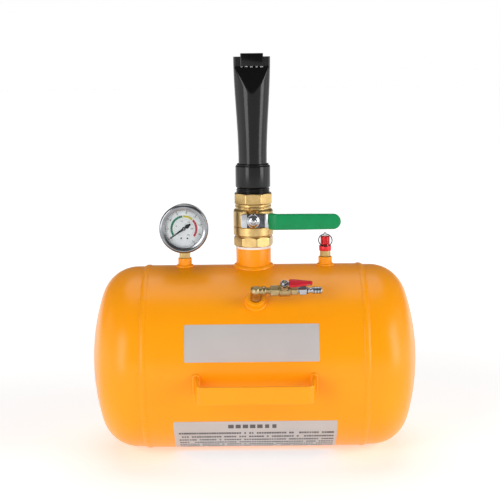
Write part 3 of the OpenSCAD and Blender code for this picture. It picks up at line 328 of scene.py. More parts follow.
# Runs a geometry tree on an object and leaves a plain mesh with its place baked in
def madeByNodes(name, source, tree, numbers, place=Matrix.Identity(4), smoothAngle=60):
    holder = bpy.data.objects.new(name + "Source", source)
    bpy.context.scene.collection.objects.link(holder)
    modifier = holder.modifiers.new("shape", "NODES")
    modifier.node_group = tree
    for item in tree.interface.items_tree:
        if item.in_out == "INPUT" and item.name in numbers:
            modifier[item.identifier] = numbers[item.name]
    bpy.context.view_layer.update()
    evaluated = holder.evaluated_get(bpy.context.evaluated_depsgraph_get())
    mesh = bpy.data.meshes.new_from_object(evaluated)
    mesh.name = name
    bpy.data.objects.remove(holder)
    metres = place.copy()
    metres.translation = place.translation * mm
    mesh.transform(metres)
    cleaned(mesh, smoothAngle)
    piece = bpy.data.objects.new(name, mesh)
    bpy.context.scene.collection.objects.link(piece)
    return piece


# Camera, floor and light

view = {"distance": 1685.0, "height": 549.0, "side": -5.0, "down": 9.108, "roll": 0.62, "lens": 87.9}
lamps = [
    # name, place in mm, aim in mm, width and height in mm, watts
    ("leftWall", (-3150, -550, 900), (0, 0, 250), (3400, 2200), 17),
    ("rightWall", (3150, -550, 900), (0, 0, 250), (3400, 2200), 17),
    ("leftSoftbox", (-1970, -2520, 1100), (0, 0, 250), (1300, 2200), 42),
    ("rightSoftbox", (2820, -1500, 1100), (0, 0, 250), (1300, 2200), 42),
]
overhead = {"strength": 0.8, "spread": 45, "tilt": -20}


def aimed(place, target, roll=0.0):
    way = Vector(target) - Vector(place)
    turn = way.to_track_quat("-Z", "Y").to_matrix().to_4x4()
    return placedAt(*(Vector(place) * mm)) @ turn @ Matrix.Rotation(roll, 4, "Z")


def setCamera():
    camera = bpy.data.objects.new("camera", bpy.data.cameras.new("camera"))
    camera.data.lens = view["lens"]
    camera.data.sensor_width = 36
    camera.data.clip_end = 20
    place = Vector((view["side"], -view["distance"], view["height"]))
    way = Vector((0, math.cos(math.radians(view["down"])), -math.sin(math.radians(view["down"]))))
    camera.matrix_world = aimed(place, place + way, -math.radians(view["roll"]))
    bpy.context.scene.collection.objects.link(camera)
    bpy.context.scene.camera = camera


def setLight():
    for name, place, target, (width, height), watts in lamps:
        light = bpy.data.lights.new(name, "AREA")
        light.shape = "RECTANGLE"
        light.size = width * mm
        light.size_y = height * mm
        light.energy = watts
        lamp = bpy.data.objects.new(name, light)
        lamp.matrix_world = aimed(place, target)
        bpy.context.scene.collection.objects.link(lamp)
    light = bpy.data.lights.new("overhead", "SUN")
    light.energy = overhead["strength"]
    light.angle = math.radians(overhead["spread"])
    lamp = bpy.data.objects.new("overhead", light)
    lamp.matrix_world = Matrix.Rotation(math.radians(overhead["tilt"]), 4, "X")
    bpy.context.scene.collection.objects.link(lamp)
    world = bpy.data.worlds.new("studio")
    world.use_nodes = True
    tree = world.node_tree
    tree.nodes.clear()
    # a white wall low round the studio, and a dim ceiling
    place = addNode(tree, "ShaderNodeTexCoord")
    parts = addNode(tree, "ShaderNodeSeparateXYZ", {0: place.outputs["Generated"]})
    height = addNode(tree, "ShaderNodeMapRange", {"Value": parts.outputs[2], "From Min": 0.04,
                                                  "From Max": 0.1, "To Min": 1.0, "To Max": 0.17},
                     interpolation_type="SMOOTHSTEP")
    room = addNode(tree, "ShaderNodeBackground", {"Color": (1, 1, 1, 1), "Strength": height})
    addNode(tree, "ShaderNodeOutputWorld", {"Surface": room})
    bpy.context.scene.world = world
    bpy.context.scene.view_settings.view_transform = "Standard"


def addFloor():
    mesh = bpy.data.meshes.new("floor")
    reach = 60.0
    mesh.from_pydata([(-reach, -reach, 0), (reach, -reach, 0), (reach, reach, 0), (-reach, reach, 0)],
                     [], [(0, 1, 2, 3)])
    floor = bpy.data.objects.new("floor", mesh)
    bpy.context.scene.collection.objects.link(floor)
    mesh.materials.append(finishes["paper"])


# Finishes

def linear(hexColour):
    parts = [int(hexColour[i:i + 2], 16) / 255 for i in (1, 3, 5)]
    return tuple(c / 12.92 if c <= 0.04045 else ((c + 0.055) / 1.055) ** 2.4 for c in parts) + (1,)


# Materials, by finish name
finishes = {}


# One surface: colour varied by a pattern, and a bump from a grain, both sized in millimetres
def surface(name, colour, shader, second=None, patternMm=30.0, amount=0.0, grainMm=1.0, bumpMm=0.0,
            stretch=(1, 1, 1), roughness=0.3, roughVary=0.0):
    material = bpy.data.materials.new(name)
    material.use_nodes = True
    tree = material.node_tree
    tree.nodes.clear()
    place = addNode(tree, "ShaderNodeTexCoord")
    scaled = addNode(tree, "ShaderNodeMapping", {"Vector": place.outputs["Object"], "Scale": stretch})
    pattern = addNode(tree, "ShaderNodeTexNoise", {"Vector": scaled, "Scale": 1 / (patternMm * mm),
                                                   "Detail": 3.0})
    grain = addNode(tree, "ShaderNodeTexNoise", {"Vector": scaled, "Scale": 1 / (grainMm * mm),
                                                 "Detail": 2.0})
    spread = addNode(tree, "ShaderNodeMapRange", {"Value": pattern.outputs["Fac"], "From Min": 0.3,
                                                  "From Max": 0.7, "To Min": 0.0, "To Max": amount})
    tinted = addNode(tree, "ShaderNodeMix", {0: spread, 6: linear(colour), 7: linear(second or colour)},
                     data_type="RGBA")
    rough = addNode(tree, "ShaderNodeMapRange", {"Value": grain.outputs["Fac"], "From Min": 0.3,
                                                 "From Max": 0.7,
                                                 "To Min": max(0.0, roughness - roughVary),
                                                 "To Max": roughness + roughVary})
    values = {"Base Color": tinted.outputs[2], "Roughness": rough}
    if bumpMm:
        bump = addNode(tree, "ShaderNodeBump", {"Height": grain.outputs["Fac"], "Strength": 1.0,
                                                "Distance": bumpMm * mm})
        values["Normal"] = bump
    values.update(shader)
    skin = addNode(tree, "ShaderNodeBsdfPrincipled", values)
    addNode(tree, "ShaderNodeOutputMaterial", {"Surface": skin})
    finishes[name] = material


def makeFinishes():
    # Stoved alkyd enamel on steel, sprayed: a faint orange peel breaks up its clear reflections
    surface("orangeEnamel", "#FFA004", {"IOR": 1.37}, second="#FB9A07", patternMm=90, amount=0.5,
            grainMm=2.2, bumpMm=0.012, roughness=0.3, roughVary=0.03)
    # The same enamel in black: almost all its light is narrow reflection
    surface("blackEnamel", "#060607", {"IOR": 1.36}, second="#0B0B0D", patternMm=25, amount=0.7,
            grainMm=1.8, bumpMm=0.01, roughness=0.15, roughVary=0.03)
    # Weld whose paint has been knocked off its crests: bright specks on black
    surface("scuffedWeld", "#1A1A1C", {"IOR": 1.45}, second="#C4C2BE", patternMm=1.7, amount=1.0,
            grainMm=0.6, bumpMm=0.03, roughness=0.45, roughVary=0.1)
    # Hot forged brass, shot blasted: a fine dull grain that still holds a broad highlight
    surface("forgedBrass", "#CDAF76", {"Metallic": 1.0}, second="#A98950", patternMm=9, amount=0.55,
            grainMm=0.55, bumpMm=0.03, roughness=0.33, roughVary=0.08)
    # Nickel washed brass, machined: paler than the forging, with a satin sheen
    surface("satinBrass", "#BBA67C", {"Metallic": 1.0}, second="#8D7A54", patternMm=5, amount=0.6,
            grainMm=0.5, bumpMm=0.02, roughness=0.3, roughVary=0.08)
    # Rolled stainless, brushed along its length: fine streaks
    surface("brushedStainless", "#A9ABAE", {"Metallic": 1.0}, second="#87898C", patternMm=4, amount=0.5,
            grainMm=0.35, bumpMm=0.004, stretch=(0.12, 1, 1), roughness=0.2, roughVary=0.06)
    # Bright chromium over nickel: a mirror, with barely any colour of its own
    surface("chromePlate", "#BCBEC2", {"Metallic": 1.0}, second="#9FA2A6", patternMm=6, amount=0.5,
            grainMm=2, roughness=0.07, roughVary=0.02)
    # Steel with a dark bright-zinc skin, mirror smooth apart from rolling marks: the pull ring's finish, and
    # painted shade on the lever plate round its nut
    surface("bluedSteelAndShade", "#5A5B5F", {"Metallic": 1.0}, second="#2E2F33", patternMm=7, amount=1.0,
            grainMm=1.5, bumpMm=0.02, roughness=0.12, roughVary=0.04)
    # Pressed stainless ring, machine polished round: softer than chrome
    surface("gaugeSteel", "#9A9C9F", {"Metallic": 1.0}, second="#6E7073", patternMm=16, amount=0.8,
            grainMm=0.5, bumpMm=0.004, roughness=0.17, roughVary=0.05)
    # Plastisol dip: thick soft PVC with a waxy skin
    surface("greenVinyl", "#008A4E", {"IOR": 1.34}, second="#007E46", patternMm=14, amount=0.6,
            grainMm=1.1, bumpMm=0.02, roughness=0.36, roughVary=0.06)
    # The same dip in red, a little glossier where it is thin
    surface("redVinyl", "#C4182A", {"IOR": 1.4}, second="#A91724", patternMm=8, amount=0.6, grainMm=0.9,
            bumpMm=0.02, roughness=0.35, roughVary=0.06)
    # Red dyed anodised aluminium, turned: a bright metal colour with fine rings
    surface("redAnodised", "#E0232B", {"Metallic": 0.6, "IOR": 1.5, "Coat Weight": 0.3},
            second="#C1141E", patternMm=6, amount=0.5, grainMm=0.3, bumpMm=0.006, stretch=(0.2, 0.2, 1),
            roughness=0.25, roughVary=0.05)
    # Thread seal tape: soft, waxy white that scatters light
    surface("ptfe", "#F4F2EE", {"IOR": 1.38}, second="#E6E3DC", patternMm=3, amount=0.5, grainMm=0.4,
            bumpMm=0.01, roughness=0.55, roughVary=0.05)
    # Moulded nitrile: dark and matt
    surface("nitrileRubber", "#1D1D1E", {"IOR": 1.5}, second="#28282A", patternMm=4, amount=0.5,
            grainMm=0.4, bumpMm=0.01, roughness=0.6, roughVary=0.05)
    # Cast acrylic lens
    surface("gaugeGlass", "#FBFDFD", {"IOR": 1.2, "Transmission Weight": 1.0}, second="#F4F8F8",
            patternMm=30, amount=0.3, grainMm=8, roughness=0.01)
    # White enamel baked on an aluminium dial
    surface("dialEnamel", "#F0F2F4", {"IOR": 1.5}, second="#E6E9EC", patternMm=20, amount=0.5,
            grainMm=0.6, bumpMm=0.004, roughness=0.4, roughVary=0.04)
    # Pad printing inks, matt against the dial
    surface("blackInk", "#08080A", {"IOR": 1.35}, second="#0E0E10", patternMm=3, amount=0.5, grainMm=0.4,
            bumpMm=0.003, roughness=0.45, roughVary=0.04)
    surface("greenInk", "#0E7F5B", {"IOR": 1.5}, second="#178A65", patternMm=3, amount=0.5, grainMm=0.4,
            roughness=0.45)
    surface("yellowInk", "#CDBE2E", {"IOR": 1.5}, second="#D8CA3E", patternMm=3, amount=0.5, grainMm=0.4,
            roughness=0.45)
    surface("redInk", "#BE1E34", {"IOR": 1.5}, second="#CB2A40", patternMm=3, amount=0.5, grainMm=0.4,
            roughness=0.45)
    # Printed polyester film with a satin laminate
    surface("labelFilm", "#C1BCBA", {"IOR": 1.4}, second="#B9B4B2", patternMm=60, amount=0.6,
            grainMm=1.6, bumpMm=0.008, roughness=0.42, roughVary=0.04)
    # Screen ink printed on the film
    surface("labelInk", "#514E50", {"IOR": 1.5}, second="#5C595B", patternMm=3, amount=0.5, grainMm=0.5,
            roughness=0.5)
    # Matt studio paper
    surface("paper", "#F8F8F8", {"IOR": 1.45, "Specular IOR Level": 0.0, "Emission Strength": 0.46,
                                 "Emission Color": (1, 1, 1, 1)}, second="#F2F2F2", patternMm=400,
            amount=0.3, roughness=0.9)
    # the paper glows less round the tank, so the underside isn't lit from below
    tree = finishes["paper"].node_tree
    place = addNode(tree, "ShaderNodeTexCoord")
    away = addNode(tree, "ShaderNodeVectorMath", {0: place.outputs["Object"]}, operation="LENGTH")
    glow = addNode(tree, "ShaderNodeMapRange", {"Value": away.outputs["Value"], "From Min": 0.3,
                                                "From Max": 1.6, "To Min": 0.4, "To Max": 0.62},
                   interpolation_type="SMOOTHSTEP")
    skin = next(node for node in tree.nodes if node.type == "BSDF_PRINCIPLED")
    tree.links.new(glow.outputs[0], skin.inputs["Emission Strength"])
    print("finishes made:", len(finishes))


# Tank

tank = {"wall": 2.5, "flange": 15.5, "knuckle": 50.0, "crown": 295.0, "beadWidth": 8.0,
        "beadHeight": 1.0}


# Shell and heads are spun about the tank's own axis, which is X
tankPlace = placedAt(0, 0, axisZ) @ alongX


def headOutline(outerR):
    start = shellHalf
    knuckleC = outerR - tank["knuckle"]
    knuckleZ = start + tank["flange"]
    turn = math.asin(knuckleC / (tank["crown"] - tank["knuckle"]))
    crownZ = knuckleZ - (tank["crown"] - tank["knuckle"]) * math.cos(turn)
    lean = 90 - math.degrees(turn)
    outer = [(outerR, start)] + arc((knuckleC, knuckleZ), tank["knuckle"], 0, lean, 28)
    outer += arc((0, crownZ), tank["crown"], lean, 89.9, 26)[1:] + [(0.0, crownZ + tank["crown"])]
    wall = tank["wall"]
    inner = [(0.0, crownZ + tank["crown"] - wall)]
    inner += arc((0, crownZ), tank["crown"] - wall, 89.9, lean, 12)
    inner += arc((knuckleC, knuckleZ), tank["knuckle"] - wall, lean, 0, 12)[1:]
    return outer + inner + [(outerR - wall, start)]


def makeTank():
    wall = tank["wall"]
    shellOutline = finer([(shellR, -shellHalf), (shellR, shellHalf)], 12, closed=False)
    shellOutline += finer([(shellR - wall, shellHalf), (shellR - wall, -shellHalf)], 12, closed=False)
    addPiece("tankShell", turned(shellOutline, around=256), tankPlace, "tank", "orangeEnamel",
             ["tank_shell"], 60)
    headR = sizeOf("right_head").z / 2
    for name, node, flip in (("rightHead", "right_head", 1), ("leftHead", "left_head", -1)):
        place = tankPlace @ Matrix.Diagonal((1, 1, flip, 1))
        addPiece(name, turned(headOutline(headR), around=256), place, "tank", "orangeEnamel", [node],
                 60)


# A welded bead swept along a path; its ripples are one per electrode step
def beadTree():
    tree, given, out = geometryTree("weldBead", {"Radius": 0.002, "Pitch": 0.002, "Ripple": 0.1})
    fine = addNode(tree, "ShaderNodeMath", {0: given["Pitch"], 1: 4.0}, operation="DIVIDE")
    even = addNode(tree, "GeometryNodeResampleCurve", {"Curve": given["Geometry"], "Length": fine},
                   mode="LENGTH")
    along = addNode(tree, "GeometryNodeSplineParameter")
    phase = addNode(tree, "ShaderNodeMath", {0: along.outputs["Length"], 1: given["Pitch"]},
                    operation="DIVIDE")
    angle = addNode(tree, "ShaderNodeMath", {0: phase, 1: math.pi}, operation="MULTIPLY")
    wave = addNode(tree, "ShaderNodeMath", {0: angle}, operation="SINE")
    crest = addNode(tree, "ShaderNodeMath", {0: wave}, operation="ABSOLUTE")
    swell = addNode(tree, "ShaderNodeMath", {0: crest, 1: given["Ripple"], 2: 1.0},
                    operation="MULTIPLY_ADD")
    wander = addNode(tree, "ShaderNodeTexNoise", {"Scale": 120.0, "Detail": 1.0})
    uneven = addNode(tree, "ShaderNodeMapRange", {"Value": wander.outputs["Fac"], "From Min": 0.3,
                                                  "From Max": 0.7, "To Min": 0.97, "To Max": 1.03})
    both = addNode(tree, "ShaderNodeMath", {0: swell, 1: uneven}, operation="MULTIPLY")
    radius = addNode(tree, "ShaderNodeMath", {0: both, 1: given["Radius"]}, operation="MULTIPLY")
    sized = addNode(tree, "GeometryNodeSetCurveRadius", {"Curve": even, "Radius": radius})
    section = addNode(tree, "GeometryNodeCurvePrimitiveCircle", {"Resolution": 14, "Radius": 1.0})
    swept = addNode(tree, "GeometryNodeCurveToMesh", {"Curve": sized, "Profile Curve": section,
                                                      "Fill Caps": True})
    scale = swept.inputs.get("Scale")
    if scale is not None:
        tree.links.new(radius.outputs[0], scale)
    return endTree(tree, out, swept, "orangeEnamel")


def addBeads(name, paths, radius, pitch, ripple, replaced, finish="orangeEnamel", cyclic=True):
    curve = bpy.data.curves.new(name + "Path", "CURVE")
    curve.dimensions = "3D"
    for path in paths:
        spline = curve.splines.new("POLY")
        spline.points.add(len(path) - 1)
        for target, point in zip(spline.points, path):
            target.co = (*(Vector(point) * mm), 1)
        spline.use_cyclic_u = cyclic
    piece = madeByNodes(name, curve, trees["bead"], {"Radius": radius * mm, "Pitch": pitch * mm,
                                                     "Ripple": ripple})
    if finish != "orangeEnamel":
        piece.data.materials[0] = finishes[finish]
    return finishPiece(piece, "tank", finish, replaced)


# The curve in which a round tube on the shell meets it, a little way out from the tube
def saddlePath(place, radius, lift, steps=120):
    path = []
    for i in range(steps):
        angle = 2 * math.pi * i / steps
        x, y = radius * math.cos(angle), radius * math.sin(angle)
        drop = math.sqrt((shellR + lift) ** 2 - y * y) - shellR
        path.append(place @ Vector((x, y, drop)))
    return path


def makeWelds():
    bead = tank["beadWidth"] / 2
    proud = tank["beadHeight"]
    roundness = (bead * bead + proud * proud) / 2 / proud
    ringR = shellR + proud - roundness * 1.02
    rings = [[(side * shellHalf, y, axisZ + z) for y, z in circle(ringR, 240)] for side in (-1, 1)]
    addBeads("girthWelds", rings, roundness, 2.2, 0.012, ["girth_welds"])
    seam = [(x, shellR - 6.4, axisZ) for x in (-shellHalf + 6, shellHalf - 6)]
    addBeads("seamWeld", [seam], 7.2, 2.2, 0.015, ["seam_weld"], cyclic=False)
    neckR = sizeOf("neck_pipe").x / 2
    addBeads("neckWeld", [saddlePath(onShell(0, math.pi / 2), neckR - 0.2, -0.4)], 4.1, 2.4, 0.05,
             ["neck_weld"])
    bossR = sizeOf("gauge_boss").x / 2
    inletBossR = sizeOf("inlet_boss").x / 2
    places = [(onShell(gaugeCentre.x, math.pi / 2), bossR), (onShell(reliefX, math.pi / 2), bossR),
              (inletPlace, inletBossR)]
    addBeads("bossWelds", [saddlePath(place, r + 0.4, 0.2, 72) for place, r in places], 2.4, 1.8, 0.07,
             ["boss_welds"])


# Neck and bosses: tubes that stand on the shell

def addTube(name, place, outerR, boreR, foot, top, edge, finish, replaced):
    outline = rounded([(boreR, foot), (outerR, foot), (outerR, top), (boreR, top)], edge)
    addPiece(name, turned(outline, around=128), place, "tank", finish, replaced)


neck = {"wall": 3.2, "wraps": 5, "bossBore": 6.05, "inletBore": 6.9, "inletTop": 9.0}


def makeNeck():
    neckSize = sizeOf("neck_pipe")
    top = boxOf("neck_tape")[0].z - shellTop
    place = onShell(0, math.pi / 2)
    addTube("neckPipe", place, neckSize.x / 2, neckSize.x / 2 - neck["wall"], -3, top, 0.5,
            "orangeEnamel", ["neck_pipe"])
    tapeR = sizeOf("neck_tape").x / 2
    tapeTop = boxOf("neck_tape")[1].z - shellTop
    turns = [(tapeR - 2.2, top - 0.4)]
    for i in range(neck["wraps"]):  # the wraps of tape lie a little unevenly
        z = top - 0.3 + (tapeTop - top + 0.2) * i / neck["wraps"]
        turns += [(tapeR - 0.35 + 0.12 * (i % 2), z), (tapeR - 0.2 + 0.15 * (i % 3) / 2, z + 0.35)]
    turns += [(tapeR - 0.4, tapeTop - 0.05), (tapeR - 2.2, tapeTop - 0.05)]

    def crinkle(a, z):
        return 0.12 * math.sin(7 * a + 3 * z) * math.sin(3 * a)

    wrap = turned(rounded(turns, 0.15), around=128, dent=crinkle)
    addPiece("neckTape", wrap, place, "tank", "ptfe", ["neck_tape"])
    for name, node, x in (("gaugeBoss", "gauge_boss", gaugeCentre.x), ("reliefBoss", "relief_boss", reliefX)):
        addTube(name, onShell(x, math.pi / 2), sizeOf(node).x / 2, neck["bossBore"], -2,
                bossTop - shellTop, 0.8, "orangeEnamel", [node])
    addTube("inletBoss", inletPlace, sizeOf("inlet_boss").x / 2, neck["inletBore"], -2, neck["inletTop"],
            1.2, "orangeEnamel", ["inlet_boss"])


# Carry handle

handle = {"foot": 78.0, "grip": 66.5, "corner": 8.0, "height": 35.0, "width": 12.0, "thick": 2.0,
          "edge": 1.1}


def makeHandle():
    lean = math.degrees(math.atan2(handle["foot"] - handle["grip"] - handle["corner"],
                                   handle["height"] + 3))
    right = arc((handle["grip"], handle["height"]), handle["corner"], lean, 90, 12)
    path = [(handle["foot"], -3.0)] + right
    path += [(-x, z) for x, z in reversed(path)]
    path = finer(path, 6, closed=False)
    rings = []
    for i, point in enumerate(path):
        ahead = Vector(path[min(i + 1, len(path) - 1)]) - Vector(path[max(i - 1, 0)])
        across = Vector((-ahead.y, ahead.x)).normalized()
        rings.append(roundedSection((point[0], 0, point[1]), (0, 1, 0), (across.x, 0, across.y),
                                    handle["width"], handle["thick"], handle["edge"]))
    place = onShell(0, handleAngle)
    addPiece("carryHandle", lofted(rings), place, "tank", "orangeEnamel", ["carry_handle"], 50)
    feet = []
    for side in (-1, 1):
        corners = rounded([(side * handle["foot"] - 2.6, -12.6), (side * handle["foot"] + 2.6, -12.6),
                           (side * handle["foot"] + 2.6, 12.6), (side * handle["foot"] - 2.6, 12.6)], 2)
        path = [Vector((x, y, math.sqrt(shellR ** 2 - y * y) - shellR)) for x, y in finer(corners, 2)]
        feet.append([place @ point for point in path])
    addBeads("handleWelds", feet, 2.8, 1.9, 0.1, ["handle_welds"])


# Labels

# A film wrapped on the shell: width along X, from one angle to another, with rounded corners
def addLabel(name, node, low, span, corner, finish):
    lowBox, highBox = boxOf(node)
    half = (highBox.x - lowBox.x) / 2
    centre = (highBox.x + lowBox.x) / 2
    r = shellR
    length = math.radians(span) * r
    columns, rows = 60, 24
    points = []
    faces = []
    for lift in (0.29, 0.02):
        for row in range(rows + 1):
            s = length * row / rows
            edge = min(s, length - s)
            inset = min(corner, max(0, corner - edge))
            pull = corner - math.sqrt(corner ** 2 - inset ** 2)
            for column in range(columns + 1):
                x = centre + (half - pull) * (2 * column / columns - 1)
                a = math.radians(low) + s / r
                points.append((x, -(r + lift) * math.cos(a), axisZ + (r + lift) * math.sin(a)))
    across = columns + 1
    sheet = (rows + 1) * across
    for row in range(rows):
        for column in range(columns):
            a = row * across + column
            quad = (a, a + 1, a + across + 1, a + across)
            faces += [quad, tuple(sheet + index for index in reversed(quad))]
    rim = [(i, i + 1) for i in range(columns)]
    rim += [(i * across + columns, (i + 1) * across + columns) for i in range(rows)]
    rim += [(rows * across + i + 1, rows * across + i) for i in reversed(range(columns))]
    rim += [((i + 1) * across, i * across) for i in reversed(range(rows))]
    faces += [(a, b, b + sheet, a + sheet) for a, b in rim]
    addPiece(name, (points, faces), Matrix.Identity(4), "tank", finish, [node], 60)


# Rows of plain bars in place of wording, wrapped on the shell
def printTree():
    tree, given, out = geometryTree("printedRows", {"Rows": 8, "Columns": 40, "Width": 0.2,
                                                    "Row gap": 0.006, "Bar height": 0.003,
                                                    "Bar width": 0.004, "Gap share": 0.16,
                                                    "Radius": 0.1284, "Top angle": -0.6, "Seed": 4})
    count = addNode(tree, "ShaderNodeMath", {0: given["Rows"], 1: given["Columns"]},
                    operation="MULTIPLY")
    dots = addNode(tree, "GeometryNodePoints", {"Count": count})
    index = addNode(tree, "GeometryNodeInputIndex")
    row = addNode(tree, "ShaderNodeMath", {0: index, 1: given["Columns"]}, operation="DIVIDE")
    rowOnly = addNode(tree, "ShaderNodeMath", {0: row}, operation="FLOOR")
    column = addNode(tree, "ShaderNodeMath", {0: row}, operation="FRACT")
    fromMiddle = addNode(tree, "ShaderNodeMath", {0: column, 1: 0.487}, operation="SUBTRACT")
    x = addNode(tree, "ShaderNodeMath", {0: fromMiddle, 1: given["Width"]}, operation="MULTIPLY")
    y = addNode(tree, "ShaderNodeMath", {0: rowOnly, 1: given["Row gap"]}, operation="MULTIPLY")
    spot = addNode(tree, "ShaderNodeCombineXYZ", {"X": x, "Y": y})
    laid = addNode(tree, "GeometryNodeSetPosition", {"Geometry": dots, "Position": spot})
    chance = addNode(tree, "FunctionNodeRandomValue", {"Seed": given["Seed"]}, data_type="FLOAT")
    isGap = addNode(tree, "FunctionNodeCompare", {0: chance.outputs[1], 1: given["Gap share"]},
                    data_type="FLOAT", operation="LESS_THAN")
    words = addNode(tree, "GeometryNodeDeleteGeometry", {"Geometry": laid, "Selection": isGap},
                    domain="POINT")
    barSize = addNode(tree, "ShaderNodeCombineXYZ", {"X": given["Bar width"], "Y": given["Bar height"],
                                                     "Z": 0.00005})
    bar = addNode(tree, "GeometryNodeMeshCube", {"Size": barSize, "Vertices Y": 6})
    length = addNode(tree, "FunctionNodeRandomValue", {2: 0.6, 3: 0.95, "Seed": given["Seed"]},
                     data_type="FLOAT")
    stretch = addNode(tree, "ShaderNodeCombineXYZ", {"X": length.outputs[1], "Y": 1.0, "Z": 1.0})
    bars = addNode(tree, "GeometryNodeInstanceOnPoints", {"Points": words, "Instance": bar,
                                                          "Scale": stretch})
    real = addNode(tree, "GeometryNodeRealizeInstances", {"Geometry": bars})
    flat = addNode(tree, "GeometryNodeInputPosition")
    parts = addNode(tree, "ShaderNodeSeparateXYZ", {0: flat})
    lifted = addNode(tree, "ShaderNodeMath", {0: parts.outputs[2], 1: given["Radius"]}, operation="ADD")
    turn = addNode(tree, "ShaderNodeMath", {0: parts.outputs[1], 1: given["Radius"]},
                   operation="DIVIDE")
    angle = addNode(tree, "ShaderNodeMath", {0: given["Top angle"], 1: turn}, operation="SUBTRACT")
    cosine = addNode(tree, "ShaderNodeMath", {0: angle}, operation="COSINE")
    sine = addNode(tree, "ShaderNodeMath", {0: angle}, operation="SINE")
    back = addNode(tree, "ShaderNodeMath", {0: cosine, 1: lifted}, operation="MULTIPLY")
    front = addNode(tree, "ShaderNodeMath", {0: back, 1: -1.0}, operation="MULTIPLY")
    up = addNode(tree, "ShaderNodeMath", {0: sine, 1: lifted}, operation="MULTIPLY")
    wrapped = addNode(tree, "ShaderNodeCombineXYZ", {"X": parts, "Y": front, "Z": up})
    bent = addNode(tree, "GeometryNodeSetPosition", {"Geometry": real, "Position": wrapped})
    return endTree(tree, out, bent, "labelInk")


def addPrint(name, rows, columns, width, rowGap, barHeight, barWidth, gapShare, topAngle, seed):
    piece = madeByNodes(name, bpy.data.meshes.new(name + "Start"), trees["print"],
                        {"Rows": rows, "Columns": columns, "Width": width * mm, "Row gap": rowGap * mm,
                         "Bar height": barHeight * mm, "Bar width": barWidth * mm, "Gap share": gapShare,
                         "Radius": (shellR + 0.31) * mm, "Top angle": math.radians(topAngle),
                         "Seed": seed}, placedAt(0, 0, axisZ))
    finishPiece(piece, "tank", "labelInk")


label = {"corner": 0.8, "upperLow": 9.5, "upperSpan": 22.5, "lowerLow": -75.0, "lowerSpan": 45.0}


def makeLabels():
    addLabel("upperLabel", "name_label", label["upperLow"], label["upperSpan"], label["corner"],
             "labelFilm")
    addLabel("lowerLabel", "caution_label", label["lowerLow"], label["lowerSpan"], label["corner"],
             "labelFilm")
    addPrint("labelHeading", 1, 7, 68, 1, 7.8, 8.2, 0.0, -34.6, 3)
    addPrint("labelRows", 7, 62, 210, 9.6, 4.4, 3.5, 0.12, -41.5, 11)


# Main valve

# A plain pin with rounded ends
def peg(radius, low, high, edge=0.3, around=64):
    return knob([(0, low), (radius, low), (radius, high), (0, high)], edge, around)


mainValve = {"flats": 51.0, "capTop": 27.0, "towerTop": 34.0, "glandFlats": 19.0}


def makeValve():
    bodyTop = boxOf("valve_body")[1].z - valveZ
    capTop = mainValve["capTop"]
    capOutline = rounded([(23.1, 0), (25.6, 0), (27.2, 1.2), (27.6, 1.8), (27.6, 11.2), (27.2, 11.9),
                          (25.9, 13.1), (24.8, 13.4), (24.8, 14.6), (26.9, 15.1), (27.5, 15.7),
                          (27.5, capTop - 0.6), (27.1, capTop - 0.05), (20.6, capTop - 0.05),
                          (20.6, 15.5), (23.1, 15.5)], 0.5)
    octagon = (-0.1, 13.3, mainValve["flats"], 8, math.radians(22.5 + 10))
    cap = turned(finer(capOutline, 0.9), [octagon], around=160)
    addPiece("valveEndCap", cap, valvePlace, "tank", "forgedBrass", ["valve_end_cap"], 50)
    bodyOutline = rounded([(20.6, capTop), (27.0, capTop), (27.5, capTop + 0.6), (27.5, 45.2),
                           (27.5, 48.6), (26.6, 50.2), (25.2, 51.4), (24.7, 52.2), (24.7, 54.4),
                           (25.3, 55.0), (25.3, 55.8), (24.7, 56.4), (24.7, 58.6), (25.6, 59.4),
                           (27.2, 60.0), (27.6, 60.7), (27.6, 71.6), (27.1, 72.5), (25.6, bodyTop),
                           (23.1, bodyTop), (23.1, bodyTop - 11.5), (20.6, bodyTop - 11.5)], 0.6)
    body = turned(finer(bodyOutline, 0.9), [(59.6, 99, mainValve["flats"], 8, 0)], around=160)
    towerTop = mainValve["towerTop"]
    tower = rounded([(0, 18), (13.2, 18), (13.2, 25.5), (11.4, 28.3), (11, 30), (11, towerTop - 0.5),
                     (10.5, towerTop), (5.2, towerTop), (5.2, 30), (0, 30)], 0.6, closed=False)
    lug = roundedBox((-11.8, 11.8, 31.0), (2.0, 2.0, 11.4), 0.7)
    valve = joined(moved(body, valvePlace), moved(turned(tower, around=96, closed=False), stemPlace),
                   moved(lug, stemPlace))
    addPiece("valveBody", valve, Matrix.Identity(4), "tank", "forgedBrass", ["valve_body"], 50)
    gland = rounded([(5.15, 33), (8.4, 33), (8.4, 34), (10.2, 34), (10.9, 34.4), (10.9, 38.2),
                     (10.1, 39), (5.15, 39)], 0.25)
    hexagon = (33.9, 39.1, mainValve["glandFlats"], 6, math.pi / 6)
    addPiece("glandNut", turned(finer(gland, 0.6), [hexagon], around=120), stemPlace, "tank",
             "forgedBrass", ["gland_nut"])


# A block with rounded edges, from its centre and half sizes
def roundedBox(centre, half, edge):
    rings = []
    depth = [(-half[2], edge), (-half[2] + edge * 0.3, edge * 0.3), (-half[2] + edge, 0)]
    depth += [(-z, inset) for z, inset in reversed(depth)]
    for z, inset in depth:
        rings.append(roundedSection((centre[0], centre[1], centre[2] + z), (1, 0, 0), (0, 1, 0),
                                    half[0] - inset, half[1] - inset, max(edge - inset * 0.3, 0.2)))
    return lofted(rings)


lever = {"tail": -17.0, "bend": 20.0, "joggle": 9.0, "rise": 12.0, "stand": 41.0, "tip": 118.0,
         "sleeveStart": 22.0, "paintedShadeLow": -9.5, "paintedShadeHigh": 15.5, "plateHalf": 9.5, "plateHalfThick": 1.5,
         "sleeveHalf": 10.8, "sleeveHalfThick": 3.3, "nutFlats": 16.0}


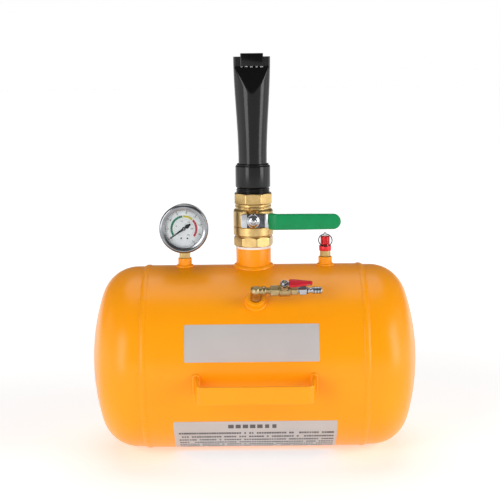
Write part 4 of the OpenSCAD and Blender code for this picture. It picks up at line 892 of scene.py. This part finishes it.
# Height of the lever's middle above the valve's axis, with its two bends rounded
def leverHeight(x):
    t = (x - lever["bend"]) / lever["joggle"]
    k = 0.09
    risen = k * (math.log(1 + math.exp(t / k)) - math.log(1 + math.exp((t - 1) / k)))
    return lever["stand"] + lever["rise"] * risen


# A strap along the lever's bent line, with round ends of the given corner sizes
def strap(start, end, halfWidth, halfThick, startCorner, endCorner, edge, widen=None):
    spots = []
    for corner, origin, way in ((startCorner, start, 1), (endCorner, end, -1)):
        spots += [origin + way * corner * (1 - math.cos(math.radians(a))) for a in range(0, 91, 9)]
    span = end - endCorner - start - startCorner
    middle = [start + startCorner + span * i / 70 for i in range(1, 70)]
    rings = []
    for x in sorted(set(round(spot, 4) for spot in spots + middle)):
        width = halfWidth + (widen(x) if widen else 0)
        thick = halfThick
        for corner, reach in ((startCorner, x - start), (endCorner, end - x)):
            if reach < corner:
                width -= corner - math.sqrt(max(0, corner ** 2 - (corner - reach) ** 2))
            if reach < edge:
                thick -= edge * 0.9 - math.sqrt(max(0, edge ** 2 - (edge - reach) ** 2)) * 0.9
        slope = (leverHeight(x + 0.2) - leverHeight(x - 0.2)) / 0.4
        out = Vector((-slope, 0, 1)).normalized()
        rings.append(roundedSection((x, 0, leverHeight(x)), (0, 1, 0), out, max(width, 0.5),
                                    max(thick, 0.15), edge))
    return lofted(rings)


def makeLever():
    plate = strap(lever["tail"], lever["tip"] - 4, lever["plateHalf"], lever["plateHalfThick"], 3, 6,
                  0.5)
    plate = addPiece("leverPlate", plate, stemPlace, "main_lever", "chromePlate", ["lever_plate"], 40)
    # painted shade: the plate round the nut takes the dark steel finish, standing for the shaded recess behind the
    # nut
    plate.data.materials.append(finishes["bluedSteelAndShade"])
    for face in plate.data.polygons:
        if lever["paintedShadeLow"] < face.center.x / mm < lever["paintedShadeHigh"]:
            face.material_index = 1
    sleeve = strap(lever["sleeveStart"], lever["tip"], lever["sleeveHalf"], lever["sleeveHalfThick"],
                   1.2, 10.6, 1.9,
                   widen=lambda x: -0.35 * ease((x - 60) / 50) + 0.3 * ease((36 - x) / 12))
    addPiece("leverSleeve", sleeve, stemPlace, "main_lever", "greenVinyl", ["lever_sleeve"], 60)
    nut = rounded([(3.6, 42.55), (9.5, 42.55), (9.6, 43.2), (9.0, 44.1), (9.1, 44.3), (9.1, 46.6),
                   (8.2, 47.4), (6.9, 48.2), (5.6, 49.2), (3.6, 50.0)], 0.3)
    addPiece("leverNut", turned(finer(nut, 0.5), [(44.15, 60, lever["nutFlats"], 6, 0)], around=120),
             stemPlace, "main_lever", "chromePlate", ["lever_nut"], 40)
    screwed = knob([(0, 42), (3.45, 42), (3.45, 50.0), (2.4, 50.7), (0, 51.0)], 0.4, 64)
    stem = joined(peg(4.9, 34, 42.2), screwed)
    addPiece("valveStem", stem, stemPlace, "main_lever", "chromePlate", ["valve_stem"])


# Nozzle

nozzle = {"wall": 2.0, "flat": 53.0, "plain": 7.0, "crease": 4.0, "collar": 31.0}


# The nozzle's rule: a round tube that spreads in width and closes in depth to a flat slot
def nozzleTree():
    tree, given, out = geometryTree("flattenedTube", {"Around": 96, "Rows": 110, "Low": 0.38,
                                                      "Mouth": 0.55, "Tube radius": 0.02,
                                                      "Taper start": 0.4, "Squeeze end": 0.53,
                                                      "Flat start": 0.46, "Half width": 0.025,
                                                      "Half depth": 0.007, "Crease": 0.004})
    rows = addNode(tree, "GeometryNodeMeshGrid", {"Size X": 1.0, "Size Y": 1.0,
                                                  "Vertices X": given["Around"],
                                                  "Vertices Y": given["Rows"]})
    spot = addNode(tree, "GeometryNodeInputPosition")
    parts = addNode(tree, "ShaderNodeSeparateXYZ", {0: spot})
    angle = addNode(tree, "ShaderNodeMath", {0: parts, 1: 2 * math.pi}, operation="MULTIPLY")
    z = addNode(tree, "ShaderNodeMapRange", {"Value": parts.outputs[1], "From Min": -0.5,
                                             "From Max": 0.5, "To Min": given["Low"],
                                             "To Max": given["Mouth"]})
    spread = addNode(tree, "ShaderNodeMapRange", {"Value": z, "From Min": given["Taper start"],
                                                  "From Max": given["Mouth"],
                                                  "To Min": given["Tube radius"],
                                                  "To Max": given["Half width"]},
                     interpolation_type="SMOOTHSTEP")
    share = addNode(tree, "ShaderNodeMapRange", {"Value": z, "From Min": given["Flat start"],
                                                 "From Max": given["Squeeze end"]})
    pressed = addNode(tree, "ShaderNodeMath", {0: share, 1: share}, operation="MULTIPLY")
    depth = addNode(tree, "ShaderNodeMix", {0: pressed, 2: given["Tube radius"], 3: given["Half depth"]},
                    data_type="FLOAT")
    crease = addNode(tree, "ShaderNodeMath", {0: share, 1: given["Crease"]}, operation="MULTIPLY")
    cosine = addNode(tree, "ShaderNodeMath", {0: angle}, operation="COSINE")
    sine = addNode(tree, "ShaderNodeMath", {0: angle}, operation="SINE")
    x = addNode(tree, "ShaderNodeMath", {0: cosine, 1: spread}, operation="MULTIPLY")
    bulge = addNode(tree, "ShaderNodeMath", {0: sine, 1: given["Tube radius"]}, operation="MULTIPLY")
    outward = addNode(tree, "ShaderNodeMath", {0: bulge}, operation="ABSOLUTE")
    # the press stops the bulge at a flat, with a crease that softens towards the mouth
    stopped = addNode(tree, "ShaderNodeMath", {0: outward, 1: depth, 2: crease}, operation="SMOOTH_MIN")
    side = addNode(tree, "ShaderNodeMath", {0: sine}, operation="SIGN")
    y = addNode(tree, "ShaderNodeMath", {0: stopped, 1: side}, operation="MULTIPLY")
    place = addNode(tree, "ShaderNodeCombineXYZ", {"X": x, "Y": y, "Z": z})
    shaped = addNode(tree, "GeometryNodeSetPosition", {"Geometry": rows, "Position": place})
    welded = addNode(tree, "GeometryNodeMergeByDistance", {"Geometry": shaped, "Distance": 0.00001})
    return endTree(tree, out, welded, "blackEnamel")


def applied(piece):
    bpy.context.view_layer.update()
    evaluated = piece.evaluated_get(bpy.context.evaluated_depsgraph_get())
    mesh = bpy.data.meshes.new_from_object(evaluated)
    piece.modifiers.clear()
    piece.data = mesh
    return piece


def makeNozzle():
    lowBox, highBox = boxOf("nozzle_tube")
    adapterLow, adapterHigh = boxOf("nozzle_adapter")
    tubeR = (highBox.y - lowBox.y) / 2
    mouth = highBox.z
    hookLap = mouth - boxOf("nozzle_hook")[0].z
    tube = madeByNodes("nozzleTube", bpy.data.meshes.new("nozzleStart"), nozzleTree(),
                       {"Around": 257, "Rows": 150, "Low": lowBox.z * mm, "Mouth": mouth * mm,
                        "Tube radius": tubeR * mm, "Taper start": (adapterHigh.z + nozzle["plain"]) * mm,
                        "Squeeze end": (mouth - hookLap) * mm,
                        "Flat start": (mouth - nozzle["flat"]) * mm,
                        "Half width": (highBox.x - lowBox.x) / 2 * mm,
                        "Half depth": -boxOf("nozzle_hook")[1].y * mm, "Crease": nozzle["crease"] * mm},
                       smoothAngle=30)
    wall = tube.modifiers.new("wall", "SOLIDIFY")
    wall.thickness = nozzle["wall"] * mm
    wall.offset = -1
    applied(tube)
    tube.data.shade_smooth()
    tube.data.set_sharp_from_angle(angle=math.radians(30))
    finishPiece(tube, "tank", "blackEnamel", ["nozzle_tube"])
    # adapter: a bare threaded foot, then a turned sleeve
    r = sizeOf("nozzle_adapter").x / 2
    bareTop = adapterHigh.z - nozzle["collar"]
    outline = rounded([(tubeR - 2, adapterLow.z), (22.3, adapterLow.z), (22.3, bareTop - 0.3),
                       (r - 1.3, bareTop), (r, bareTop + 1.3), (r, adapterHigh.z - 1.3),
                       (r - 1.3, adapterHigh.z), (tubeR - 2, adapterHigh.z)], 0.5)
    addPiece("nozzleAdapter", turned(outline, around=128), Matrix.Identity(4), "tank", "blackEnamel",
             ["nozzle_adapter"])
    addThread("adapterThread", placedAt(0, 0, adapterLow.z + 2), 22.2, 2.2, bareTop - adapterLow.z - 3,
              "tank", "blackEnamel")
    bead = [(x, y, adapterHigh.z + 0.4) for x, y in circle(tubeR + 0.7, 96)]
    addBeads("nozzleWeld", [bead], 1.9, 2.0, 0.08, ["nozzle_weld"], "blackEnamel")
    hookLow, hookHigh = boxOf("nozzle_hook")
    middle = (hookLow + hookHigh) / 2
    half = (hookHigh - hookLow) / 2
    addPiece("nozzleHook", roundedBox((middle.x, middle.z, -middle.y), (half.x, half.z, half.y), 1.0),
             upright, "tank", "blackEnamel", ["nozzle_hook"], 20)
    random.seed(7)  # spatter and short stitches of weld under the plate
    stitches = []
    for i in range(5):
        x = hookLow.x + 2 + i * (2 * half.x - 4) / 4 + random.uniform(-0.6, 0.6)
        reach = random.uniform(1.0, 2.0)
        z = hookLow.z - 0.2 + random.uniform(-0.5, 0.3)
        stitches.append([(x - reach, hookHigh.y - 0.4, z), (x, hookHigh.y - 0.9, z + 0.3),
                         (x + reach, hookHigh.y - 0.4, z)])
    addBeads("hookWeld", stitches, 1.1, 0.9, 0.16, ["hook_weld"], "scuffedWeld", cyclic=False)


# A screw thread: one ridge wound up a core
def threadTree():
    tree, given, out = geometryTree("screwThread", {"Radius": 0.02, "Pitch": 0.002, "Turns": 3.0})
    height = addNode(tree, "ShaderNodeMath", {0: given["Pitch"], 1: given["Turns"]},
                     operation="MULTIPLY")
    ridge = addNode(tree, "ShaderNodeMath", {0: given["Pitch"], 1: 0.46}, operation="MULTIPLY")
    helix = addNode(tree, "GeometryNodeCurveSpiral", {"Resolution": 64, "Rotations": given["Turns"],
                                                      "Start Radius": given["Radius"],
                                                      "End Radius": given["Radius"], "Height": height})
    section = addNode(tree, "GeometryNodeCurvePrimitiveCircle", {"Resolution": 6, "Radius": ridge})
    swept = addNode(tree, "GeometryNodeCurveToMesh", {"Curve": helix, "Profile Curve": section,
                                                      "Fill Caps": True})
    return endTree(tree, out, swept, "satinBrass")


def addThread(name, place, rootR, pitch, length, body, finish):
    piece = madeByNodes(name, bpy.data.meshes.new(name + "Start"), trees["thread"],
                        {"Radius": (rootR + pitch * 0.02) * mm, "Pitch": pitch * mm,
                         "Turns": length / pitch}, place)
    piece.data.materials[0] = finishes[finish]
    return finishPiece(piece, body, finish)


# Pressure gauge

gauge = {"dial": 14.55, "zero": 215.0, "sweep": 270.0, "tickR": 26.0, "numberR": 21.9, "bandR": 17.0,
         "bandHalf": 1.5, "shankFlats": 14.8}


def ringArc(inner, outer, start, end, low, high):
    steps = max(4, int(abs(end - start) / 3))
    rings = []
    for i in range(steps + 1):
        a = math.radians(start + (end - start) * i / steps)
        way = Vector((math.cos(a), math.sin(a), 0))
        rings.append([way * inner + Vector((0, 0, low)), way * outer + Vector((0, 0, low)),
                      way * outer + Vector((0, 0, high)), way * inner + Vector((0, 0, high))])
    return lofted(rings)


# Marks round a dial, each a thin block that points to the middle
def tickTree():
    tree, given, out = geometryTree("dialTicks", {"Count": 41, "Radius": 0.027, "Length": 0.002,
                                                  "Width": 0.0003, "Start": 3.7, "Step": -0.1})
    dots = addNode(tree, "GeometryNodePoints", {"Count": given["Count"]})
    index = addNode(tree, "GeometryNodeInputIndex")
    angle = addNode(tree, "ShaderNodeMath", {0: index, 1: given["Step"], 2: given["Start"]},
                    operation="MULTIPLY_ADD")
    cosine = addNode(tree, "ShaderNodeMath", {0: angle}, operation="COSINE")
    sine = addNode(tree, "ShaderNodeMath", {0: angle}, operation="SINE")
    x = addNode(tree, "ShaderNodeMath", {0: cosine, 1: given["Radius"]}, operation="MULTIPLY")
    y = addNode(tree, "ShaderNodeMath", {0: sine, 1: given["Radius"]}, operation="MULTIPLY")
    spot = addNode(tree, "ShaderNodeCombineXYZ", {"X": x, "Y": y})
    laid = addNode(tree, "GeometryNodeSetPosition", {"Geometry": dots, "Position": spot})
    turn = addNode(tree, "ShaderNodeCombineXYZ", {"Z": angle})
    markSize = addNode(tree, "ShaderNodeCombineXYZ", {"X": given["Length"], "Y": given["Width"],
                                                      "Z": 0.00006})
    mark = addNode(tree, "GeometryNodeMeshCube", {"Size": markSize})
    marks = addNode(tree, "GeometryNodeInstanceOnPoints", {"Points": laid, "Instance": mark,
                                                           "Rotation": turn})
    return endTree(tree, out, marks, "blackInk")


def addTicks(name, count, radius, length, width):
    piece = madeByNodes(name, bpy.data.meshes.new(name + "Start"), trees["tick"],
                        {"Count": count, "Radius": radius * mm, "Length": length * mm,
                         "Width": width * mm, "Start": math.radians(gauge["zero"]),
                         "Step": -math.radians(gauge["sweep"] / (count - 1))},
                        gaugePlace @ placedAt(0, 0, gauge["dial"]))
    finishPiece(piece, "tank", "blackInk")


# Plain numbers, upright, round a dial
def addNumbers(name, values, radius, height):
    parts = []
    for i, value in enumerate(values):
        text = bpy.data.curves.new(name, "FONT")
        text.body = value
        text.size = height
        text.extrude = 0.03
        text.align_x = "CENTER"
        text.align_y = "CENTER"
        holder = bpy.data.objects.new(name, text)
        bpy.context.scene.collection.objects.link(holder)
        bpy.context.view_layer.update()
        mesh = bpy.data.meshes.new_from_object(holder.evaluated_get(bpy.context.evaluated_depsgraph_get()))
        bpy.data.objects.remove(holder)
        angle = math.radians(gauge["zero"] - gauge["sweep"] * i / (len(values) - 1))
        spot = placedAt(radius * math.cos(angle), radius * math.sin(angle), 0)
        points = [tuple(spot @ vertex.co) for vertex in mesh.vertices]
        parts.append((points, [tuple(face.vertices) for face in mesh.polygons]))
    addPiece(name, joined(*parts), gaugePlace @ placedAt(0, 0, gauge["dial"]), "tank", "blackInk")


def makeGauge():
    caseR = sizeOf("gauge_case").x / 2
    bezelR = sizeOf("gauge_bezel").x / 2
    caseOutline = rounded([(0, -12), (caseR - 2.5, -12), (caseR, -9.5), (caseR, 17), (caseR - 1, 17),
                           (caseR - 1, -9.2), (caseR - 3, -11), (0, -11)], 0.8, closed=False)
    addPiece("gaugeCase", turned(caseOutline, around=128, closed=False), gaugePlace, "tank",
             "gaugeSteel", ["gauge_case"])
    bezelOutline = rounded([(caseR + 0.05, 13), (bezelR - 0.7, 13), (bezelR, 13.8), (bezelR, 18.6),
                            (bezelR - 0.5, 19.9), (bezelR - 1.6, 21.0), (bezelR - 3.0, 21.45),
                            (bezelR - 4.6, 21.2), (bezelR - 6.0, 20.7), (bezelR - 7.6, 20.02),
                            (caseR + 0.05, 20.02)], 0.5)
    addPiece("gaugeBezel", turned(bezelOutline, around=160), gaugePlace, "tank", "gaugeSteel",
             ["gauge_bezel"], 60)
    lens = rounded([(0, 18.2), (caseR - 0.2, 18.2), (caseR - 0.2, 19.95), (0, 19.95)], 0.3,
                   closed=False)
    addPiece("gaugeLens", turned(lens, around=128, closed=False), gaugePlace, "tank", "gaugeGlass",
             ["gauge_lens"])
    gasket = rounded([(bezelR - 4.3, 17), (caseR - 0.1, 17), (caseR - 0.1, 18.2), (bezelR - 4.3, 18.2)],
                     0.2)
    addPiece("lensGasket", turned(gasket, around=128), gaugePlace, "tank", "nitrileRubber",
             ["lens_gasket"])
    dial = rounded([(1.6, 13.7), (caseR - 1.2, 13.7), (caseR - 1.2, 14.5), (1.6, 14.5)], 0.15)
    addPiece("gaugeDial", turned(dial, around=128), gaugePlace, "tank", "dialEnamel", ["gauge_dial"])
    r = gauge["bandR"]
    low, high = gauge["dial"] - 0.06, gauge["dial"] + 0.01
    bands = (("greenBand", 212, 96, "greenInk"), ("yellowBand", 93, 46, "yellowInk"),
             ("redBand", 43, -38, "redInk"))
    for name, start, end, finish in bands:
        addPiece(name, ringArc(r - gauge["bandHalf"], r + gauge["bandHalf"], start, end, low, high),
                 gaugePlace, "tank", finish)
    addTicks("majorTicks", 9, gauge["tickR"] - 0.9, 2.4, 0.6)
    addTicks("minorTicks", 41, gauge["tickR"] - 0.3, 1.3, 0.34)
    addTicks("innerTicks", 31, 13.6, 1.1, 0.3)
    addNumbers("outerNumbers", ["0", "2", "4", "6", "8", "10", "12", "14", "16"], gauge["numberR"], 4.0)
    addNumbers("innerNumbers", ["0", "50", "100", "150", "200", "250"], 10.9, 2.6)
    pointer = [(23.5, 0.45), (8, 1.15), (1.5, 1.5), (-2.6, 1.4), (-5.0, 3.1), (-11.0, 1.0),
               (-11.0, -1.0), (-5.0, -3.1), (-2.6, -1.4), (1.5, -1.5), (8, -1.15), (23.5, -0.45)]
    zero = Matrix.Rotation(math.radians(gauge["zero"]), 4, "Z")
    blade = lofted([[(x, y, 15.4) for x, y in pointer], [(x, y, 15.9) for x, y in pointer]])
    hub = knob([(0, 15.3), (2.5, 15.3), (2.5, 16.0), (1.7, 16.5), (0, 16.6)], 0.25, 48)
    addPiece("gaugePointer", joined(moved(blade, zero), hub), gaugePlace, "gauge_needle", "blackInk",
             ["gauge_pointer"])
    tip = knob([(0, 16.4), (1.1, 16.4), (1.1, 17.0), (0.7, 17.3), (0, 17.35)], 0.15, 32)
    addPiece("arborTip", tip, gaugePlace, "gauge_needle", "chromePlate")
    screws = []
    for x, y in ((-4.0, -13.2), (4.6, -13.4)):
        head = knob([(0, 14.5), (1.15, 14.5), (1.15, 15.0), (0.7, 15.2), (0, 15.2)], 0.15, 24)
        screws.append(moved(head, placedAt(x, y, 0)))
    addPiece("dialScrews", joined(*screws), gaugePlace, "tank", "nitrileRubber", ["dial_screws"])
    # square brass shank between the boss and the case
    shankTop = gaugeCentre.z - caseR - bossTop + 0.6
    shank = [(5.9, -9), (5.9, 0.4), (7.9, 0.9), (8.9, 1.5), (8.9, shankTop), (7.9, shankTop + 0.9),
             (0, shankTop + 0.9)]
    body = turned(finer(rounded([(0, -9)] + shank, 0.3, closed=False), 0.7, closed=False),
                  [(0.45, 60, gauge["shankFlats"], 4, 0)], around=96, closed=False)
    addPiece("gaugeShank", body, placedAt(gaugeCentre.x, 0, bossTop), "tank", "forgedBrass")


# Relief valve

relief = {"pull": 3.0, "hexFlats": 13.2, "flange": 7.5, "grooves": 5, "ringTurns": 2, "ringLean": 33.0}


def makeRelief():
    hexTop = boxOf("relief_cap")[0].z - bossTop
    outline = rounded([(0, -9), (5.9, -9), (5.9, 0.1), (6.9, 0.2), (7.5, 0.9), (7.5, hexTop - 0.05),
                       (5.1, hexTop - 0.05), (5.1, hexTop + 4), (0, hexTop + 4)], 0.3, closed=False)
    hexagon = (0.15, hexTop, relief["hexFlats"], 6, math.pi / 6)
    body = turned(finer(outline, 0.6, closed=False), [hexagon], around=96, closed=False)
    addPiece("reliefBody", body, reliefPlace, "tank", "forgedBrass", ["relief_body"])
    # painted shade: a dark rubber disc on a hex flat stands in for the shade inside the vent hole
    vent = knob([(0, 6.0), (1.2, 6.0), (1.2, 6.72), (0, 6.72)], 0.1, 32)
    ventPlace = reliefPlace @ placedAt(0, 0, 4.6) @ Matrix.Rotation(math.radians(30), 4, "Z") @ upright
    addPiece("ventHoleShade", vent, ventPlace, "tank", "nitrileRubber")
    capTop = boxOf("relief_cap")[1].z - bossTop
    flangeTop = hexTop + relief["flange"]
    outline = [(5.2, hexTop), (8.1, hexTop), (8.6, hexTop + 0.5), (8.6, flangeTop - 1.0),
               (8.0, flangeTop - 0.2), (6.8, flangeTop), (6.5, flangeTop + 0.5)]
    for i in range(relief["grooves"]):  # shallow turned grooves round the barrel
        z = flangeTop + 1.6 + 2.0 * i
        outline += [(6.5, z), (6.15, z + 0.25), (6.15, z + 0.6), (6.5, z + 0.85)]
    outline += [(6.5, capTop - 1.3), (5.3, capTop), (2.2, capTop), (2.2, hexTop + 6), (5.2, hexTop + 6)]
    addPiece("reliefCap", turned(rounded(outline, 0.3), around=96), reliefPlace, "tank", "redAnodised",
             ["relief_cap"])
    eye = pivotOf("relief_ring_swing").z - bossTop
    stemTop = boxOf("relief_stem")[1].z - bossTop
    stem = knob([(0, hexTop), (1.95, hexTop), (1.95, stemTop - 1.2), (1.5, stemTop - 0.2), (0, stemTop)],
                0.4, 48)
    addPiece("reliefStem", stem, reliefPlace, "relief_pull", "brushedStainless", ["relief_stem"])
    # split ring: two flat turns of spring wire, one beside the other
    ringSize = sizeOf("relief_ring")
    meanR = (ringSize.x - 1.6) / 2
    lean = math.radians(relief["ringLean"])
    path = []
    for i in range(161):
        t = i / 160
        a = math.pi / 2 + 0.5 + 2 * math.pi * relief["ringTurns"] * t
        side = 0.4 * (2 * ease((t - 0.42) / 0.16) - 1)
        path.append(Vector((meanR * math.cos(a), meanR * math.sin(a) - meanR, side)))
    place = reliefPlace @ placedAt(0, 0, eye) @ Matrix.Rotation(math.pi / 2 - lean, 4, "X")
    rings = []
    for i, point in enumerate(path):
        ahead = (path[min(i + 1, 160)] - path[max(i - 1, 0)]).normalized()
        side = Vector((0, 0, 1))
        out = ahead.cross(side).normalized()
        rings.append(roundedSection(point, out, side, 0.62, 0.38, 0.3, 3))
    addPiece("pullRing", lofted(rings), place, "pull_ring", "bluedSteelAndShade", ["relief_ring"], 60)


# The spring keeps its CAD shape
def makeSpring():
    node = "relief_spring"
    mesh = frame["nodes"][node].data.copy()
    mesh.name = "reliefSpring"
    mesh.materials.clear()
    cleaned(mesh, 40)
    spring = bpy.data.objects.new("reliefSpring", mesh)
    bpy.context.scene.collection.objects.link(spring)
    finishPiece(spring, "tank", "brushedStainless", [node])
    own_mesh(spring)


# Inlet line

inletLine = {"leg": 6.85, "arm": 13.7, "hexReach": 18.05, "middleHalf": 8.15, "insert": 9.8,
             "bodyFlats": 14.0, "insertFlats": 12.0, "nutFlats": 6.5}


def makeInlet():
    legR = inletLine["leg"]
    armEnd = inletLine["arm"]
    hexLow, hexHigh = stemAlong - inletLine["hexReach"], stemAlong - inletLine["middleHalf"]
    midHigh = stemAlong + inletLine["middleHalf"]
    end = midHigh + inletLine["insert"]
    # forged elbow: leg, heel and arm grown into one skin
    leg = peg(legR, 1, lineHeight, 0.4)
    heel = turned([(0, lineHeight - 6), (legR, lineHeight - 6), (legR, lineHeight + 2.2),
                   (3.6, lineHeight + 5.9), (0, lineHeight + 5.9)], around=64, closed=False)
    arm = moved(peg(5.5, 0, armEnd, 0.5), placedAt(0, 0, lineHeight) @ alongX)
    collar = moved(peg(6.2, 8.6, armEnd - 0.8, 0.7), placedAt(0, 0, lineHeight) @ alongX)
    rim = peg(7.3, 9.0, 12.6, 0.8)
    elbow = addPiece("inletElbow", joined(leg, heel, arm, collar, rim), inletPlace, "tank", "satinBrass",
                     ["inlet_elbow"], 60)
    skin = elbow.modifiers.new("skin", "REMESH")
    skin.mode = "VOXEL"
    skin.voxel_size = 0.32 * mm
    soft = elbow.modifiers.new("soft", "SMOOTH")
    soft.factor = 0.5
    soft.iterations = 4
    applied(elbow)
    elbow.data.shade_smooth()
    if not elbow.data.materials:
        elbow.data.materials.append(finishes["satinBrass"])
    core = peg(4.3, armEnd - 1, hexLow + 4, 0.2)
    addPiece("elbowThreadCore", core, linePlace @ alongX, "tank", "satinBrass")
    addThread("elbowThread", linePlace @ alongX @ placedAt(0, 0, armEnd + 0.2), 4.25, 1.0,
              hexLow - armEnd, "tank", "satinBrass")
    outline = rounded([(4.9, hexLow), (7.1, hexLow), (8.0, hexLow + 0.9), (8.0, hexHigh - 0.6),
                       (6.9, hexHigh + 0.3), (6.6, hexHigh + 1.2), (7.9, hexHigh + 2.2),
                       (8.0, hexHigh + 2.8), (8.0, midHigh - 0.6), (7.5, midHigh), (4.9, midHigh)],
                      0.35)
    body = turned(finer(outline, 0.5), [(hexLow - 0.1, hexHigh + 0.1, inletLine["bodyFlats"], 6, 0)],
                  around=120)
    tower = knob([(0, 3), (5.6, 3), (5.6, 7.4), (5.0, 8.6), (5.0, 11.5), (4.6, 12.0), (0, 12.0)], 0.4,
                 64)
    valve = joined(moved(body, linePlace @ alongX), moved(tower, inletStemPlace))
    addPiece("inletValveBody", valve, Matrix.Identity(4), "tank", "satinBrass", ["inlet_valve_body"],
             45)
    insert = rounded([(4.9, midHigh), (5.5, midHigh), (5.5, midHigh + 1.0), (6.2, midHigh + 1.3),
                      (6.85, midHigh + 2.0), (6.85, end - 0.8), (6.1, end), (4.9, end)], 0.3)
    hexagon = (midHigh + 1.1, end + 0.1, inletLine["insertFlats"], 6, 0)
    addPiece("inletInsert", turned(finer(insert, 0.5), [hexagon], around=120), linePlace @ alongX,
             "tank", "satinBrass", ["inlet_insert"], 45)
    makePlug(end)
    # lever: a stamped hub and blade with a dipped grip
    blade = bladePart(-2.6, 35.3, 3.3, 1.0, 2.0, 0.3, 16.0)
    hub = knob([(0, 15.0), (5.2, 15.0), (5.2, 17.0), (0, 17.0)], 0.3, 64)
    addPiece("inletLever", joined(blade, hub), inletStemPlace, "inlet_lever_set", "brushedStainless",
             ["inlet_lever"])
    grip = bladePart(6.0, 37.0, 5.75, 2.5, 2.4, 1.5, 16.0, lambda x: -2.9 * ease((x - 8) / 28))
    addPiece("inletGrip", grip, inletStemPlace, "inlet_lever_set", "redVinyl", ["inlet_grip"], 60)
    nut = rounded([(1.3, 17.05), (3.6, 17.05), (3.75, 17.4), (3.75, 19.2), (3.2, 19.85), (1.3, 19.9)],
                  0.15)
    addPiece("inletNut", turned(finer(nut, 0.4), [(17, 20, inletLine["nutFlats"], 6, 0)], around=72),
             inletStemPlace, "inlet_lever_set", "chromePlate", ["inlet_nut"])
    stem = joined(peg(1.85, 8.0, 16.0, 0.1, around=48), peg(1.2, 15, 20.4, 0.3, around=48))
    addPiece("inletStem", stem, inletStemPlace, "inlet_lever_set", "satinBrass", ["inlet_stem"])


# A flat blade along X at one height, with rounded ends
def bladePart(start, end, halfWidth, halfThick, corner, edge, height, widen=None):
    spots = [start + corner * (1 - math.cos(math.radians(a))) for a in range(0, 91, 10)]
    spots += [end - corner * (1 - math.cos(math.radians(a))) for a in range(0, 91, 10)]
    spots += [start + corner + (end - start - 2 * corner) * i / 24 for i in range(1, 24)]
    rings = []
    for x in sorted(set(round(spot, 4) for spot in spots)):
        width = halfWidth + (widen(x) if widen else 0)
        thick = halfThick
        for reach in (x - start, end - x):
            if reach < corner:
                width -= corner - math.sqrt(max(0, corner ** 2 - (corner - reach) ** 2))
            if reach < edge:
                thick -= 0.9 * (edge - math.sqrt(max(0, edge ** 2 - (edge - reach) ** 2)))
        rings.append(roundedSection((x, 0, height), (0, 1, 0), (0, 0, 1), max(width, 0.4),
                                    max(thick, 0.15), edge))
    return lofted(rings)


airPlug = {"gap": 2.3, "hex": 9.0, "barrel": 8.0, "nose": 13.0, "flats": 12.5}


def makePlug(start):
    hexLow = start + airPlug["gap"]
    hexHigh = hexLow + airPlug["hex"]
    noseStart = hexHigh + airPlug["barrel"]
    noseEnd = noseStart + airPlug["nose"]
    outline = rounded([(2.5, start - 3), (4.3, start - 3), (4.3, hexLow), (6.3, hexLow),
                       (7.15, hexLow + 0.8), (7.15, hexHigh - 0.8), (6.3, hexHigh),
                       (4.55, hexHigh + 0.2), (4.55, hexHigh + 3.2), (3.55, hexHigh + 4.3),
                       (3.5, noseStart - 1.1), (4.5, noseStart), (4.55, noseStart + 0.2),
                       (4.55, noseEnd - 1.2), (3.6, noseEnd), (2.5, noseEnd)], 0.25)
    plug = turned(finer(outline, 0.5), [(hexLow - 0.1, hexHigh + 0.1, airPlug["flats"], 6, 0)],
                  around=120)
    addPiece("airPlug", plug, linePlace @ alongX, "tank", "chromePlate", ["air_plug"], 45)
    starts = (hexHigh + 0.9, noseStart + 1.5, noseStart + 5.4, noseStart + 9.2)
    bands = [turned([(4.4, z), (4.66, z + 0.15), (4.66, z + 1.15), (4.4, z + 1.3)], around=64)
             for z in starts]
    addPiece("plugBands", joined(*bands), linePlace @ alongX, "tank", "nitrileRubber")
    addThread("plugThread", linePlace @ alongX @ placedAt(0, 0, start - 0.6), 4.25, 1.0, 2.8, "tank",
              "chromePlate")


# Carried-over pieces inside the valves and the gauge

insideFinish = {"valve_seats": "ptfe", "valve_ball": "chromePlate", "stem_packing": "ptfe",
                "gauge_socket": "forgedBrass", "bourdon_tube": "satinBrass",
                "gauge_movement": "satinBrass", "sector_gear": "satinBrass",
                "pinion_arbor": "satinBrass", "relief_disc": "nitrileRubber", "inlet_seats": "ptfe",
                "inlet_ball": "chromePlate", "inlet_packing": "nitrileRubber"}


def finishInside():
    for node, finish in insideFinish.items():
        mesh = frame["nodes"][node].data
        mesh.materials.clear()
        mesh.materials.append(finishes[finish])


makeFinishes()
trees = {"bead": beadTree(), "print": printTree(), "thread": threadTree(), "tick": tickTree()}
setCamera()
setLight()
addFloor()
makeTank()
makeWelds()
makeNeck()
makeHandle()
makeLabels()
print("tank made")
makeValve()
makeLever()
makeNozzle()
print("valve and nozzle made")
makeGauge()
makeRelief()
makeSpring()
makeInlet()
finishInside()
print("fittings made")
